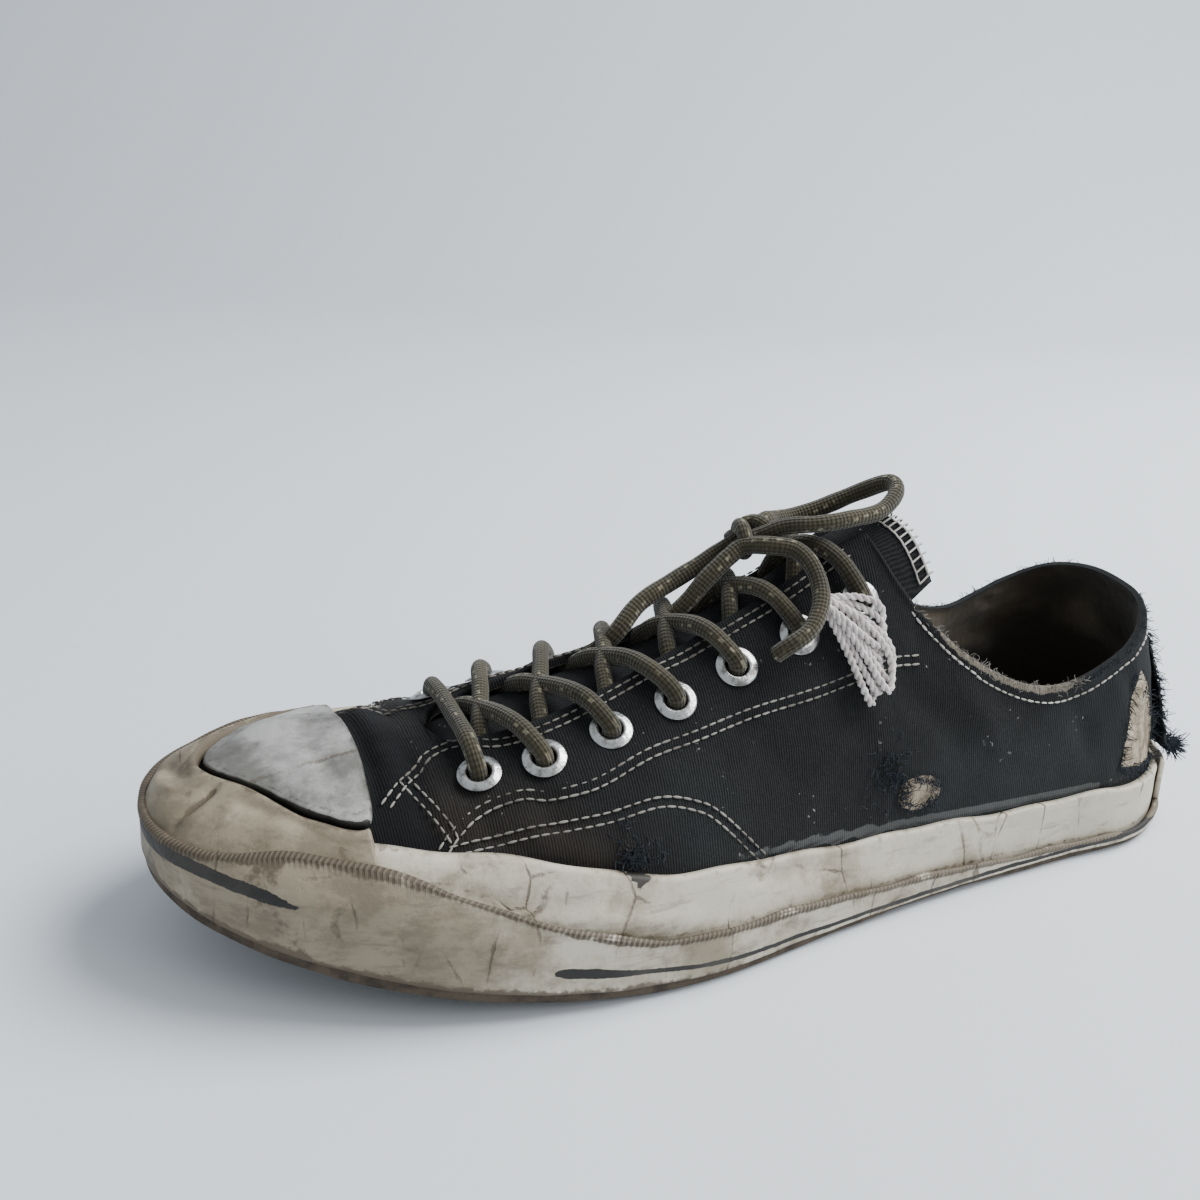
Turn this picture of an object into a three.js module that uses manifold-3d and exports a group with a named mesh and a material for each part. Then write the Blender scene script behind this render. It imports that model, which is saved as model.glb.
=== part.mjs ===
// Worn low canvas lace-up sneaker, left foot, standing empty on its sole.
// Millimetres. +X to the toe, +Y to the outer side, +Z up. The origin is on the floor, under the
// middle of the shoe's bounding box without its loose lace.
import * as THREE from 'three';
import { ParametricGeometry } from 'three/addons/geometries/ParametricGeometry.js';
import { mergeVertices } from 'three/addons/utils/BufferGeometryUtils.js';
import Module from 'manifold-3d';

const wasm = await Module();
wasm.setup();

// ---------- driving dimensions ----------
const HALF = 150;               // half the outsole length
const GAP = 0.3;                // between pieces that lie against each other
const CURVED_GAP = 0.45;        // the same between two curved faces, which are faceted differently
const HEEL_ROUND = 37;          // length of the rounded heel end of the outline
const TOE_ROUND = 62;           // length of the rounded toe end of the outline
const TOE_POWER = 2.3;          // squareness of the toe end
const SPRING_START = 18;        // where the forefoot starts to rise
const TOE_SPRING = 22;          // rise at the toe tip
const ARCH = { rise: 1.2, back: -80, length: 75 };  // hollow of the waist under the arch
const WALL = 2;                 // canvas with its lining
const RUBBER_INSET = 4;         // from the outline in to the upper and the midsole
const TAPE = 1.2;               // outer foxing tape
const FOXING = 1.9;             // inner foxing strip
const MIDSOLE_TOP = 10.7;       // above the outsole's underside
const INSOLE = 3.5;
const TONGUE = 2.6;
const TOE_CAP = 1.9;            // how proud the cap stands of the canvas
const BUMPER = 3.2;             // how proud the bumper stands of the canvas
const LACE = 4.8;               // lace diameter
const LAST_FLOOR = MIDSOLE_TOP + GAP;
const SECTIONS = 30;            // of the last, heel to toe
const ARC = 18;                 // steps over each section

// Stations along the shoe: [x, value]. Widths are to the outline of the rubber.
const OUTER_EDGE = [[-150, 33.5], [-110, 34.5], [-60, 39], [-15, 46], [35, 55], [75, 53], [115, 44],
  [150, 38]];
const INNER_EDGE = [[-150, -39], [-110, -39], [-60, -34], [-15, -32], [35, -43], [75, -52], [115, -53],
  [150, -48]];
const MIDDLE = [[-150, -3], [-110, -3], [-60, 0], [-15, 2], [35, 3], [75, 0], [115, -5], [150, -7]];
const INSTEP = [[-150, 118], [-100, 116], [-60, 109], [-30, 97], [0, 81], [30, 67], [60, 57], [85, 50],
  [110, 47], [146, 44]];
// How much the sections narrow towards their top: 0 is an ellipse.
const SLOPE = [[-150, 0.1], [-90, 0.08], [-45, 0.27], [-20, 0.29], [20, 0.14], [60, 0], [150, -0.1]];
// Heights above the bent floor.
const FOXING_TOP = [[-150, 17], [-120, 18.8], [-90, 19.3], [-30, 22.5], [30, 28], [80, 32.5], [110, 29],
  [150, 15]];
const TAPE_TOP = [[-150, 5.5], [-100, 5.5], [-50, 8.5], [0, 12.5], [24, 14], [45, 15.5], [65, 20], [84, 25.5],
  [120, 26], [150, 14]];
const OUTSOLE_THICKNESS = [[-150, 2.4], [-20, 2.6], [60, 3.2], [150, 3.8]];
// The collar line above the floor.
const COLLAR_OUTER = [[-146, 75], [-130, 68.5], [-112, 59.5], [-90, 52.5], [-66, 59], [-50, 70], [-41, 79],
  [-36, 86], [-31, 97], [-20, 130]];
const COLLAR_INNER = [[-146, 75], [-130, 71], [-112, 62], [-90, 55], [-66, 64], [-50, 77], [-41, 84],
  [-36, 89], [-31, 98], [-20, 130]];
// How the last comes down to the toe tip, and how the heel leans over the foot.
const TOE_DROP = { length: 42, power: 2.6 };
const HEEL_LEAN = { front: -85, run: 65, by: 16, from: 20, over: 48, power: 1.5, top: 1.3 };

// ---------- the last ----------
// A smooth curve through stations.
function along(stations, x) {
  const n = stations.length;
  const slope = i => (stations[i + 1][1] - stations[i][1]) / (stations[i + 1][0] - stations[i][0]);
  const tangent = i => {
    if (i === 0) return slope(0);
    if (i === n - 1) return slope(n - 2);
    const before = stations[i][0] - stations[i - 1][0];
    const after = stations[i + 1][0] - stations[i][0];
    return (slope(i - 1) * after + slope(i) * before) / (before + after);
  };
  const clamped = THREE.MathUtils.clamp(x, stations[0][0], stations[n - 1][0]);
  let i = 0;
  while (i < n - 2 && clamped > stations[i + 1][0]) i += 1;
  const span = stations[i + 1][0] - stations[i][0];
  const t = (clamped - stations[i][0]) / span;
  return (2 * t ** 3 - 3 * t ** 2 + 1) * stations[i][1] + (t ** 3 - 2 * t ** 2 + t) * span * tangent(i)
    + (3 * t ** 2 - 2 * t ** 3) * stations[i + 1][1] + (t ** 3 - t ** 2) * span * tangent(i + 1);
}

// A superellipse quarter: 0 at the end, 1 from the given distance on.
function rounding(distance, length, power) {
  const t = THREE.MathUtils.clamp(distance / length, 0, 1);
  return (1 - (1 - t) ** power) ** (1 / power);
}

const spring = x => TOE_SPRING * THREE.MathUtils.clamp((x - SPRING_START) / (HALF - SPRING_START), 0, 1) ** 2;
const outsoleTop = x => spring(x) + along(OUTSOLE_THICKNESS, x);
const foxingTop = x => spring(x) + along(FOXING_TOP, x);
const tapeTop = x => spring(x) + along(TAPE_TOP, x);
const archPart = x => THREE.MathUtils.clamp((x - ARCH.back) / ARCH.length, 0, 1);
const arch = x => ARCH.rise * Math.max(0, Math.sin(Math.PI * archPart(x)));

function halfWidth(x, side, inset) {
  const edge = along(side > 0 ? OUTER_EDGE : INNER_EDGE, x) - side * inset;
  const ends = rounding(x + HALF - inset, HEEL_ROUND, 2) * rounding(HALF - inset - x, TOE_ROUND, TOE_POWER);
  return (edge - along(MIDDLE, x)) * ends;
}

// The top of the last at a place, and its section's own shape.
function section(x, offset) {
  const floor = spring(x) + LAST_FLOOR;
  const toe = rounding(HALF - RUBBER_INSET + offset - x, TOE_DROP.length, TOE_DROP.power);
  return { floor, height: (along(INSTEP, x) + offset - floor) * toe, slope: along(SLOPE, x) };
}

// The heel leans over the foot above the counter.
function lean(x, z) {
  const near = THREE.MathUtils.clamp((HEEL_LEAN.front - x) / HEEL_LEAN.run, 0, 1) ** 2;
  const up = THREE.MathUtils.clamp((z - HEEL_LEAN.from) / HEEL_LEAN.over, 0, HEEL_LEAN.top);
  return near * HEEL_LEAN.by * up ** HEEL_LEAN.power;
}

// How far out of its half width the section is at an angle up from the feather edge.
const reachAt = (angle, slope) => Math.abs(Math.cos(angle)) * (1 - slope * Math.sin(angle));

// A point of the last, grown by offset: angle 0 is the outer feather edge, pi the inner one.
function lastPoint(x, angle, offset, target = new THREE.Vector3()) {
  const side = angle < Math.PI / 2 ? 1 : -1;
  const { floor, height, slope } = section(x, offset);
  const width = halfWidth(x, side, RUBBER_INSET - offset) * reachAt(angle, slope);
  const z = floor + height * Math.sin(angle);
  return target.set(x + lean(x, z), along(MIDDLE, x) + width, z);
}

// The height of the grown last over a place on the plan, forward of the ankle.
function lastHeight(x, y, offset) {
  const { floor, height, slope } = section(x, offset);
  const away = y - along(MIDDLE, x);
  const reach = away / halfWidth(x, Math.sign(away) || 1, RUBBER_INSET - offset);
  let [low, high] = [0, Math.PI / 2];
  for (let i = 0; i < 24; i += 1) {
    const middle = (low + high) / 2;
    if (reachAt(middle, slope) > reach) low = middle;
    else high = middle;
  }
  return floor + height * Math.sin(low);
}

// ---------- solids ----------
// A closed geometry as a solid, with its shared vertices merged and its faces out.
function solid(geometry) {
  const bare = geometry.clone();
  bare.deleteAttribute('normal');
  bare.deleteAttribute('uv');
  const merged = mergeVertices(bare, 1e-3);
  const source = merged.index.array;
  const points = merged.attributes.position.array;
  const triangles = [];
  let volume = 0;
  for (let i = 0; i < source.length; i += 3) {
    const [a, b, c] = [source[i], source[i + 1], source[i + 2]];
    if (a === b || b === c || c === a) continue;
    triangles.push(a, b, c);
    const [p, q, r] = [a, b, c].map(k => new THREE.Vector3().fromArray(points, 3 * k));
    volume += p.dot(q.cross(r));
  }
  if (volume < 0) {
    for (let i = 0; i < triangles.length; i += 3) {
      [triangles[i + 1], triangles[i + 2]] = [triangles[i + 2], triangles[i + 1]];
    }
  }
  return new wasm.Manifold(new wasm.Mesh({
    numProp: 3,
    vertProperties: Float32Array.from(points),
    triVerts: Uint32Array.from(triangles),
  }));
}

function geometryOf(body) {
  const mesh = body.getMesh();
  const geometry = new THREE.BufferGeometry();
  geometry.setAttribute('position', new THREE.BufferAttribute(Float32Array.from(mesh.vertProperties), 3));
  geometry.setIndex(new THREE.BufferAttribute(Uint32Array.from(mesh.triVerts), 1));
  geometry.computeVertexNormals();
  return geometry;
}

const shoe = new THREE.Group();

function piece(name, body, color, roughness, metalness = 0) {
  const material = new THREE.MeshStandardMaterial({ color, roughness, metalness });
  const mesh = new THREE.Mesh(body.isBufferGeometry ? body : geometryOf(body), material);
  mesh.name = name;
  shoe.add(mesh);
  return mesh;
}

// The whole last grown by offset, with its floor dropped so that it can cut through one above it.
function lastForm(offset, floorDrop = 0, sections = SECTIONS, arc = ARC) {
  const floorSteps = 5;
  const slices = arc + floorSteps;
  const end = HALF - RUBBER_INSET + offset;
  const outer = new THREE.Vector3();
  return solid(new ParametricGeometry((u, v, target) => {
    const x = -end * Math.cos(Math.PI * v);
    const step = Math.round(u * slices);
    if (step <= arc) {
      lastPoint(x, Math.PI * step / arc, offset, target);
      return;
    }
    lastPoint(x, 0, offset, outer);
    if (step === slices) {
      target.copy(outer);
      return;
    }
    lastPoint(x, Math.PI, offset, target);
    target.lerp(outer, (step - arc - 1) / (floorSteps - 2));
    target.z -= floorDrop;
  }, slices, sections));
}

// A ring of the sole: each level is [inset from the outline, height(x)], and a level with no inset
// closes the form on the sole's middle line.
function soleForm(levels, around = 2 * SECTIONS) {
  const stacks = levels.length - 1;
  return solid(new ParametricGeometry((u, v, target) => {
    const row = Math.round(v * stacks);
    const [inset, height] = levels[row];
    const beside = inset ?? levels[row === 0 ? 1 : row - 1][0];
    const turn = 2 * Math.PI * (u < 1 ? u : 0);
    const x = -(HALF - beside) * Math.cos(turn);
    const side = turn < Math.PI ? 1 : -1;
    const away = inset === null ? 0 : halfWidth(x, side, beside);
    target.set(x, along(MIDDLE, x) + away, height(x));
  }, around, stacks));
}

// A plan outline raised into a block that cuts through everything over it.
function block(points, low = -20, high = 200) {
  const shape = new THREE.Shape(points.map(([x, y]) => new THREE.Vector2(x, y)));
  const geometry = new THREE.ExtrudeGeometry(shape, { depth: high - low, bevelEnabled: false });
  geometry.translate(0, 0, low);
  return solid(geometry);
}

// A smooth closed plan outline through a few points.
function smoothOutline(points, divisions) {
  const curve = new THREE.CatmullRomCurve3(points.map(([x, y]) => new THREE.Vector3(x, y, 0)), true);
  return curve.getPoints(divisions).slice(0, -1).map(p => [p.x, p.y]);
}

// ---------- sole ----------
const TREAD = { width: 3.4, depth: 1.5, pitch: 17, swing: 7, teeth: 4, border: 9 };

// One zigzag groove of the tread, cut square to the underside.
function treadGroove(x) {
  const low = along(INNER_EDGE, x) + TREAD.border;
  const high = along(OUTER_EDGE, x) - TREAD.border;
  const zigzag = Array.from({ length: TREAD.teeth + 1 }, (_, i) => [
    (i % 2 ? 0.5 : -0.5) * TREAD.swing, low + (high - low) * i / TREAD.teeth]);
  const front = zigzag.map(([dx, y]) => [dx + TREAD.width / 2, y]);
  const back = zigzag.map(([dx, y]) => [dx - TREAD.width / 2, y]).reverse();
  const tilt = Math.atan2(spring(x + 1) - spring(x - 1), 2);
  const points = [...front, ...back];
  const shape = new THREE.Shape(points.map(([dx, y]) => new THREE.Vector2(dx, y)));
  const reach = 8;
  const geometry = new THREE.ExtrudeGeometry(shape, { depth: reach, bevelEnabled: false });
  geometry.translate(0, 0, TREAD.depth - reach);
  geometry.rotateY(-tilt);
  geometry.translate(x, 0, spring(x));
  return solid(geometry);
}

const OUTSOLE_INSET = 0.6;
const OUTSOLE_EDGE = 1.4;
let outsole = soleForm([
  [null, x => spring(x) + arch(x)],
  [OUTSOLE_INSET + OUTSOLE_EDGE, x => spring(x) + arch(x)],
  [OUTSOLE_INSET, x => spring(x) + arch(x) * 0.5 + OUTSOLE_EDGE * 0.8],
  [OUTSOLE_INSET, outsoleTop],
  [null, outsoleTop],
]);
for (const [from, to] of [[-134, -88], [-4, 122]]) {
  for (let x = from; x <= to; x += TREAD.pitch) outsole = outsole.subtract(treadGroove(x));
}
piece('outsole', outsole, 0x6a5446, 0.85);

const aboveOutsole = x => outsoleTop(x) + GAP;
const midsoleTop = x => spring(x) + MIDSOLE_TOP;
const midsole = soleForm([
  [null, aboveOutsole],
  [RUBBER_INSET, aboveOutsole],
  [RUBBER_INSET, midsoleTop],
  [null, midsoleTop],
]);
piece('midsole', midsole, 0xb9ab93, 0.9);

// The last grown by offset, cut level: its half width at a height, and where its toe gets that low.
function levelWidth(x, side, offset, height) {
  const { floor, height: rise, slope } = section(x, offset);
  const sine = THREE.MathUtils.clamp((height - floor) / Math.max(rise, 1e-6), 0, 1);
  return halfWidth(x, side, RUBBER_INSET - offset) * reachAt(Math.asin(sine), slope);
}

function toeReach(offset, height) {
  const tip = HALF - RUBBER_INSET + offset;
  let [low, high] = [HALF - TOE_ROUND, tip];
  for (let i = 0; i < 30; i += 1) {
    const x = (low + high) / 2;
    const { floor, height: rise } = section(x, offset);
    if (floor + rise > height(x)) low = x;
    else high = x;
  }
  return low;
}

// Rubber wrapped round the last between two of its grown forms, and between two heights. Its faces
// turn in over the last by equal angles.
function wrapped(inner, outer, low, high, steps) {
  const face = offset => {
    const knee = x => Math.min(spring(x) + LAST_FLOOR, (low(x) + high(x)) / 2);
    const turned = part => x => {
      const rise = Math.max(section(x, offset).height, 1e-6);
      const top = Math.asin(THREE.MathUtils.clamp((high(x) - knee(x)) / rise, 0, 1));
      return knee(x) + (high(x) - knee(x)) * Math.sin(top * part) / Math.sin(top);
    };
    const rows = [low, ...Array.from({ length: steps + 1 }, (_, i) => turned(i / steps))];
    return rows.map(height => [offset, height]);
  };
  const rows = [...face(outer), ...face(inner).reverse()];
  rows.push(rows[0]);
  const stacks = rows.length - 1;
  return solid(new ParametricGeometry((u, v, target) => {
    const [offset, height] = rows[Math.round(v * stacks)];
    const turn = 2 * Math.PI * (u < 1 ? u : 0);
    const heel = -(HALF - RUBBER_INSET + offset);
    const x = THREE.MathUtils.lerp(heel, toeReach(offset, height), (1 - Math.cos(turn)) / 2);
    const side = turn < Math.PI ? 1 : -1;
    const z = height(x);
    target.set(x + lean(x, z), along(MIDDLE, x) + levelWidth(x, side, offset, z), z);
  }, 2 * SECTIONS, stacks));
}

piece('foxing', wrapped(CURVED_GAP, CURVED_GAP + FOXING, aboveOutsole, foxingTop, 4), 0xcfc6b2, 0.75);
piece('foxing_tape', wrapped(RUBBER_INSET - TAPE, RUBBER_INSET, aboveOutsole, tapeTop, 3), 0xbdb29c, 0.8);

// Everything between two places along the shoe.
const span = (from, to) => block([[from, -90], [to, -90], [to, 90], [from, 90]]);

// ---------- upper ----------
// Everything above the collar line, which differs on the outer and inner sides.
function aboveCollar() {
  const [back, front] = [-165, -22];
  const [reach, steps, sky] = [60, 8, 200];
  const collar = (x, y) => THREE.MathUtils.lerp(
    along(COLLAR_INNER, x), along(COLLAR_OUTER, x), THREE.MathUtils.smoothstep(y, -25, 25));
  return solid(new ParametricGeometry((u, v, target) => {
    const step = Math.round(u * (steps + 3));
    const x = THREE.MathUtils.lerp(back, front, v);
    const y = THREE.MathUtils.lerp(reach, -reach, Math.min(step, steps) / steps);
    if (v === 0 || v === 1) target.set(x, 0, sky / 2);
    else if (step <= steps) target.set(x, y, collar(x, y));
    else target.set(x, step === steps + 3 ? reach : (step === steps + 1 ? -reach : reach), sky);
    if (v > 0 && v < 1 && step === steps + 3) target.set(x, reach, collar(x, reach));
  }, steps + 3, 26));
}

const THROAT = [[83, 1], [81, 7], [74, 11.5], [62, 14.5], [48, 14.5], [30, 12.5], [0, 10.5], [-30, 8.5],
  [-90, 8], [-90, -6], [-30, -6], [0, -7], [30, -8.5], [48, -9.5], [62, -9.5], [74, -8], [81, -4]];
const EYELET_X = [76, 61, 44, 27, 10, -8, -26];
const EYELET_OUTER_Y = [23.5, 26, 25, 24, 22, 20, 18.5];
const EYELET_INNER_Y = [-19, -20, -19.5, -18.5, -17.5, -16.5, -15.5];
const EYELET = { hole: 3.6, punch: 14, barrel: 3.2, bore: 2.4, lip: 3.2, flange: 5.4, lift: 0.4,
  thickness: 0.9, depth: 1.4, sides: 10 };

// The place and outward direction of each eyelet on the outside of the canvas.
function seat(x, y) {
  const delta = 0.5;
  const at = (px, py) => new THREE.Vector3(px, py, lastHeight(px, py, 0));
  const acrossX = at(x + delta, y).sub(at(x - delta, y));
  const acrossY = at(x, y + delta).sub(at(x, y - delta));
  return { point: at(x, y), normal: acrossX.cross(acrossY).normalize() };
}

function eyeletPlaced(geometry, x, y) {
  const { point, normal } = seat(x, y);
  geometry.rotateX(Math.PI / 2);
  geometry.applyQuaternion(new THREE.Quaternion().setFromUnitVectors(new THREE.Vector3(0, 0, 1), normal));
  geometry.translate(point.x, point.y, point.z);
  return geometry;
}

const eyeletPlaces = EYELET_X.flatMap((x, i) => [
  [`eyelet_outer_${i + 1}`, x, EYELET_OUTER_Y[i]], [`eyelet_inner_${i + 1}`, x, EYELET_INNER_Y[i]]]);

let upper = lastForm(0).subtract(lastForm(-WALL, 3));
upper = upper.subtract(aboveCollar()).subtract(block(THROAT));
for (const [, x, y] of eyeletPlaces) {
  const punch = new THREE.CylinderGeometry(EYELET.hole, EYELET.hole, EYELET.punch, EYELET.sides);
  upper = upper.subtract(solid(eyeletPlaced(punch, x, y)));
}
piece('upper', upper, 0x26292c, 0.95);

// Washers: a flange over the canvas and a barrel down through its hole.
for (const [name, x, y] of eyeletPlaces) {
  const { bore, barrel, lip, flange, lift, thickness, depth } = EYELET;
  const profile = [[bore, -depth], [barrel, -depth], [barrel, lift], [flange, lift], [lip, lift + thickness],
    [bore, -depth]];
  const ring = new THREE.LatheGeometry(profile.map(([r, h]) => new THREE.Vector2(r, h)), EYELET.sides);
  piece(name, solid(eyeletPlaced(ring, x, y)), 0xc9cbcc, 0.35, 0.9);
}

// ---------- tongue and insole ----------
const TONGUE_PLAN = [[95, -11], [95, 15], [70, 22], [40, 25], [0, 24], [-30, 23], [-50, 19], [-46, 12],
  [-40.5, 5], [-39, -2], [-43.5, -9], [-50, -17], [-30, -20], [0, -20], [40, -21], [70, -19]];
const TONGUE_TOP = -WALL - 0.9;           // the tongue's face, under the canvas and the lace
const ABOVE_WAIST = 40;
const tongueSkin = lastForm(TONGUE_TOP, 3).subtract(lastForm(TONGUE_TOP - TONGUE, 8));
const tongue = tongueSkin.intersect(block(TONGUE_PLAN, ABOVE_WAIST));
piece('tongue', tongue, 0x1f2123, 0.95);

const INSOLE_EDGE = RUBBER_INSET + WALL + GAP;
const INSOLE_SLANT = 1.4;
piece('insole', soleForm([
  [null, x => spring(x) + LAST_FLOOR],
  [INSOLE_EDGE, x => spring(x) + LAST_FLOOR],
  [INSOLE_EDGE + INSOLE_SLANT, x => spring(x) + LAST_FLOOR + INSOLE],
  [null, x => spring(x) + LAST_FLOOR + INSOLE],
]), 0x6b5f4e, 0.95);

// ---------- rubber over the toe and heel ----------
const CAP_PLAN = [[102, -35], [100.5, -20], [100, -4], [100.6, 13], [103, 27], [115, 20], [124, 8],
  [131, -2], [134, -11], [131, -20], [124, -29], [115, -35]];
const onCanvas = lastForm(GAP, 3);
const CAP_STEPS = 48;
const BEYOND = 3;
const belowFoxing = soleForm([
  [null, () => -10],
  [-BEYOND, () => -10],
  [-BEYOND, x => foxingTop(x) + GAP],
  [null, x => foxingTop(x) + GAP],
]).intersect(span(80, 165));
const capBlock = block(smoothOutline(CAP_PLAN, CAP_STEPS));
const capSkin = lastForm(TOE_CAP).subtract(onCanvas);
piece('toe_cap', capSkin.intersect(capBlock).subtract(belowFoxing), 0xc6c7c2, 0.55);

// The cap's outline grown a little all round, for the hole in the bumper that it sits in.
const CAP_CENTRE = [110, -5];
const CAP_SEAM = [0.36, 0.48];
const grownCap = CAP_PLAN.map(point => point.map((value, axis) => (
  value + CAP_SEAM[axis] * (value > CAP_CENTRE[axis] ? 1 : -1))));
const BUMPER_BACK = 102;
const capHole = block(smoothOutline(grownCap, CAP_STEPS));
const bumperSkin = lastForm(BUMPER, 3).subtract(onCanvas).subtract(capHole);
piece('toe_bumper', bumperSkin.subtract(belowFoxing).intersect(span(BUMPER_BACK, 170)), 0xc3b8a2, 0.8);

const HEEL_TAB = { front: -129, over: 1 };
const aboveTape = x => tapeTop(x) + GAP;
const heelTabTop = x => foxingTop(x) + HEEL_TAB.over;
const heelTab = wrapped(RUBBER_INSET - TAPE, RUBBER_INSET, aboveTape, heelTabTop, 2);
piece('heel_tab', heelTab.intersect(span(-160, HEEL_TAB.front)), 0xcdc6b4, 0.75);

// ---------- lace ----------
const EYELET_HEIGHT = LACE / 2 + 1.8;     // of the lace's middle over the canvas, where it crosses a washer
const THROAT_MIDDLE = 1.5;
const THROAT_START = 5;

// A point at a height straight out from the canvas.
function over([x, y, height]) {
  const { point, normal } = seat(x, y);
  return point.addScaledVector(normal, height);
}

function cord(points, diameter, sides, steps) {
  const ring = Array.from({ length: sides }, (_, i) => new THREE.Vector2(diameter / 2, 0)
    .rotateAround(new THREE.Vector2(), 2 * Math.PI * i / sides));
  const path = new THREE.CatmullRomCurve3(points);
  return new THREE.ExtrudeGeometry(new THREE.Shape(ring), { steps, extrudePath: path, bevelEnabled: false });
}

const LACE_COLOR = 0x4a4431;
const lacePiece = (name, body) => piece(name, body, LACE_COLOR, 0.95);
const eyeletOuter = i => [EYELET_X[i], EYELET_OUTER_Y[i]];
const eyeletInner = i => [EYELET_X[i], EYELET_INNER_Y[i]];

// Points from one place to another, each a part of the way and at a height over the canvas.
function pathOver(from, to, heights) {
  return heights.map(([part, height]) => over([
    THREE.MathUtils.lerp(from[0], to[0], part), THREE.MathUtils.lerp(from[1], to[1], part), height]));
}

// The straight bar over the first pair of eyelets.
function laceBar() {
  const [from, to] = [eyeletInner(0), eyeletOuter(0)];
  const high = EYELET_HEIGHT;
  const heights = [[0, high], [0.25, high], [0.5, 3], [0.75, high], [1, high]];
  return solid(cord(pathOver(from, to, heights), LACE, 6, 8));
}
lacePiece('lace_bar', laceBar());

// A strand up out of the throat, over one facing and down to an eyelet of the next pair.
function strand(row, side) {
  const from = [EYELET_X[row] - 5, THROAT_MIDDLE - side * THROAT_START];
  const to = side > 0 ? eyeletOuter(row + 1) : eyeletInner(row + 1);
  const heights = [[0, 0.2], [0.25, 1.3], [0.5, 3.4], [0.74, EYELET_HEIGHT], [1, EYELET_HEIGHT]];
  return solid(cord(pathOver(from, to, heights), LACE, 6, 7));
}
for (let row = 0; row < EYELET_X.length - 1; row += 1) {
  lacePiece(`lace_crossing_${row + 1}`, strand(row, 1).add(strand(row, -1)));
}

// The free lace: two ends rise out of the throat into a knot, which holds a bow and lets one end hang.
// Each row is [x, y, height out from the canvas].
const RISER_INNER = [[30, -2, 3.6], [22, -3, 7], [12, -3.5, 7.8], [4, -3.5, 8.2], [-0.5, -3.2, 8.6]];
const RISER_OUTER = [[12.5, 1.5, 3.2], [7, 2, 6], [2, 2, 7.6], [-0.5, 1.9, 8.2]];
const KNOT = { at: [-8, -0.5, 8.5], size: [13.4, 11, 9] };
const BOW = [[-15, -2.5, 9.5], [-19.5, -5, 9.6], [-26, -6.8, 9], [-34, -6.8, 6.6], [-41, -5, 3.6],
  [-45.2, -0.8, 1.4], [-43.5, 4, 0.9], [-37, 6.8, 2.2], [-29, 6.8, 5.2], [-21.5, 6, 7.6], [-15, 3.5, 8.8]];
const HANGING_END = [[-10, 5.8, 8.2], [-13.5, 8.1, 6.9], [-14.7, 11.6, 6.9], [-14.2, 15.3, 7.5],
  [-11.8, 18.1, 8.8], [-7.6, 20.4, 9.5], [-3, 21.6, 9.2], [-0.4, 22.1, 7.6], [1.4, 22.5, 5.5]];
const CORE_LOOP = [[-22, 22.6, 3.4], [-26.5, 22.6, 3.4], [-31.5, 24.4, 3.4], [-33.6, 27.4, 3.4],
  [-30, 29.2, 3.4], [-24.5, 28.8, 3.4], [-21.2, 27, 3.4]];
const CORE = 4.6;
lacePiece('lace_riser_inner', cord(RISER_INNER.map(over), LACE, 8, 8));
lacePiece('lace_riser_outer', cord(RISER_OUTER.map(over), LACE, 8, 5));
const knot = new THREE.SphereGeometry(0.5, 10, 7);
knot.scale(...KNOT.size);
knot.translate(...over(KNOT.at).toArray());
lacePiece('lace_knot', solid(knot));
lacePiece('lace_bow', cord(BOW.map(over), LACE, 8, 18));
lacePiece('lace_end', cord(HANGING_END.map(over), LACE, 8, 14));
piece('lace_core', cord(CORE_LOOP.map(over), CORE, 8, 12), 0xc9c2b8, 0.95);

export default shoe;
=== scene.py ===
"""Looks of a worn low canvas sneaker, left foot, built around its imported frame.

Shapes are worked out in millimetres, in the frame of the part: +X to the toe, +Y to the outer side,
+Z up, with the origin on the floor. They turn into metres where a mesh is made.
"""

import math

import bmesh
import bpy
import numpy as np
from mathutils import Matrix, Vector


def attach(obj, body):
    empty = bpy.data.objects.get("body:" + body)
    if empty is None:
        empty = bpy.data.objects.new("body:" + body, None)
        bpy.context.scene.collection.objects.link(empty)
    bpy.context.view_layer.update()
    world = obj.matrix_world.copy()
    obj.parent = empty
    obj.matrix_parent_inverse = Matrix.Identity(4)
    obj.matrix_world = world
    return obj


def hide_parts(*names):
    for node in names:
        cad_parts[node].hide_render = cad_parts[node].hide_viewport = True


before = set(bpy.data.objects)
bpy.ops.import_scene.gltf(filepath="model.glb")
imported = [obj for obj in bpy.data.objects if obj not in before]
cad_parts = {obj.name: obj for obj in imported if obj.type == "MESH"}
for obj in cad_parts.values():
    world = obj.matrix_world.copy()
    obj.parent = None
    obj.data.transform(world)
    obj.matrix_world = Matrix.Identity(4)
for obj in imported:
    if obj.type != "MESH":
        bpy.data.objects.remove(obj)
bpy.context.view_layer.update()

MM = 0.001

# ---------- sizes of the part ----------
HALF = 150
HEEL_ROUND = 37
TOE_ROUND = 62
TOE_POWER = 2.3
SPRING_START = 18
TOE_SPRING = 22
WALL = 2
RUBBER_INSET = 4
FOXING = 1.9
CURVED_GAP = 0.45
TAPE = 1.2
GAP = 0.3
MIDSOLE_TOP = 10.7
LAST_FLOOR = MIDSOLE_TOP + GAP
INSOLE = 3.5
TONGUE = 2.6
TONGUE_TOP = -WALL - 0.9
TOE_CAP = 1.9
BUMPER = 3.2
LACE = 4.8
OUTER_EDGE = [(-150, 33.5), (-110, 34.5), (-60, 39), (-15, 46), (35, 55), (75, 53), (115, 44), (150, 38)]
INNER_EDGE = [(-150, -39), (-110, -39), (-60, -34), (-15, -32), (35, -43), (75, -52), (115, -53), (150, -48)]
MIDDLE = [(-150, -3), (-110, -3), (-60, 0), (-15, 2), (35, 3), (75, 0), (115, -5), (150, -7)]
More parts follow.
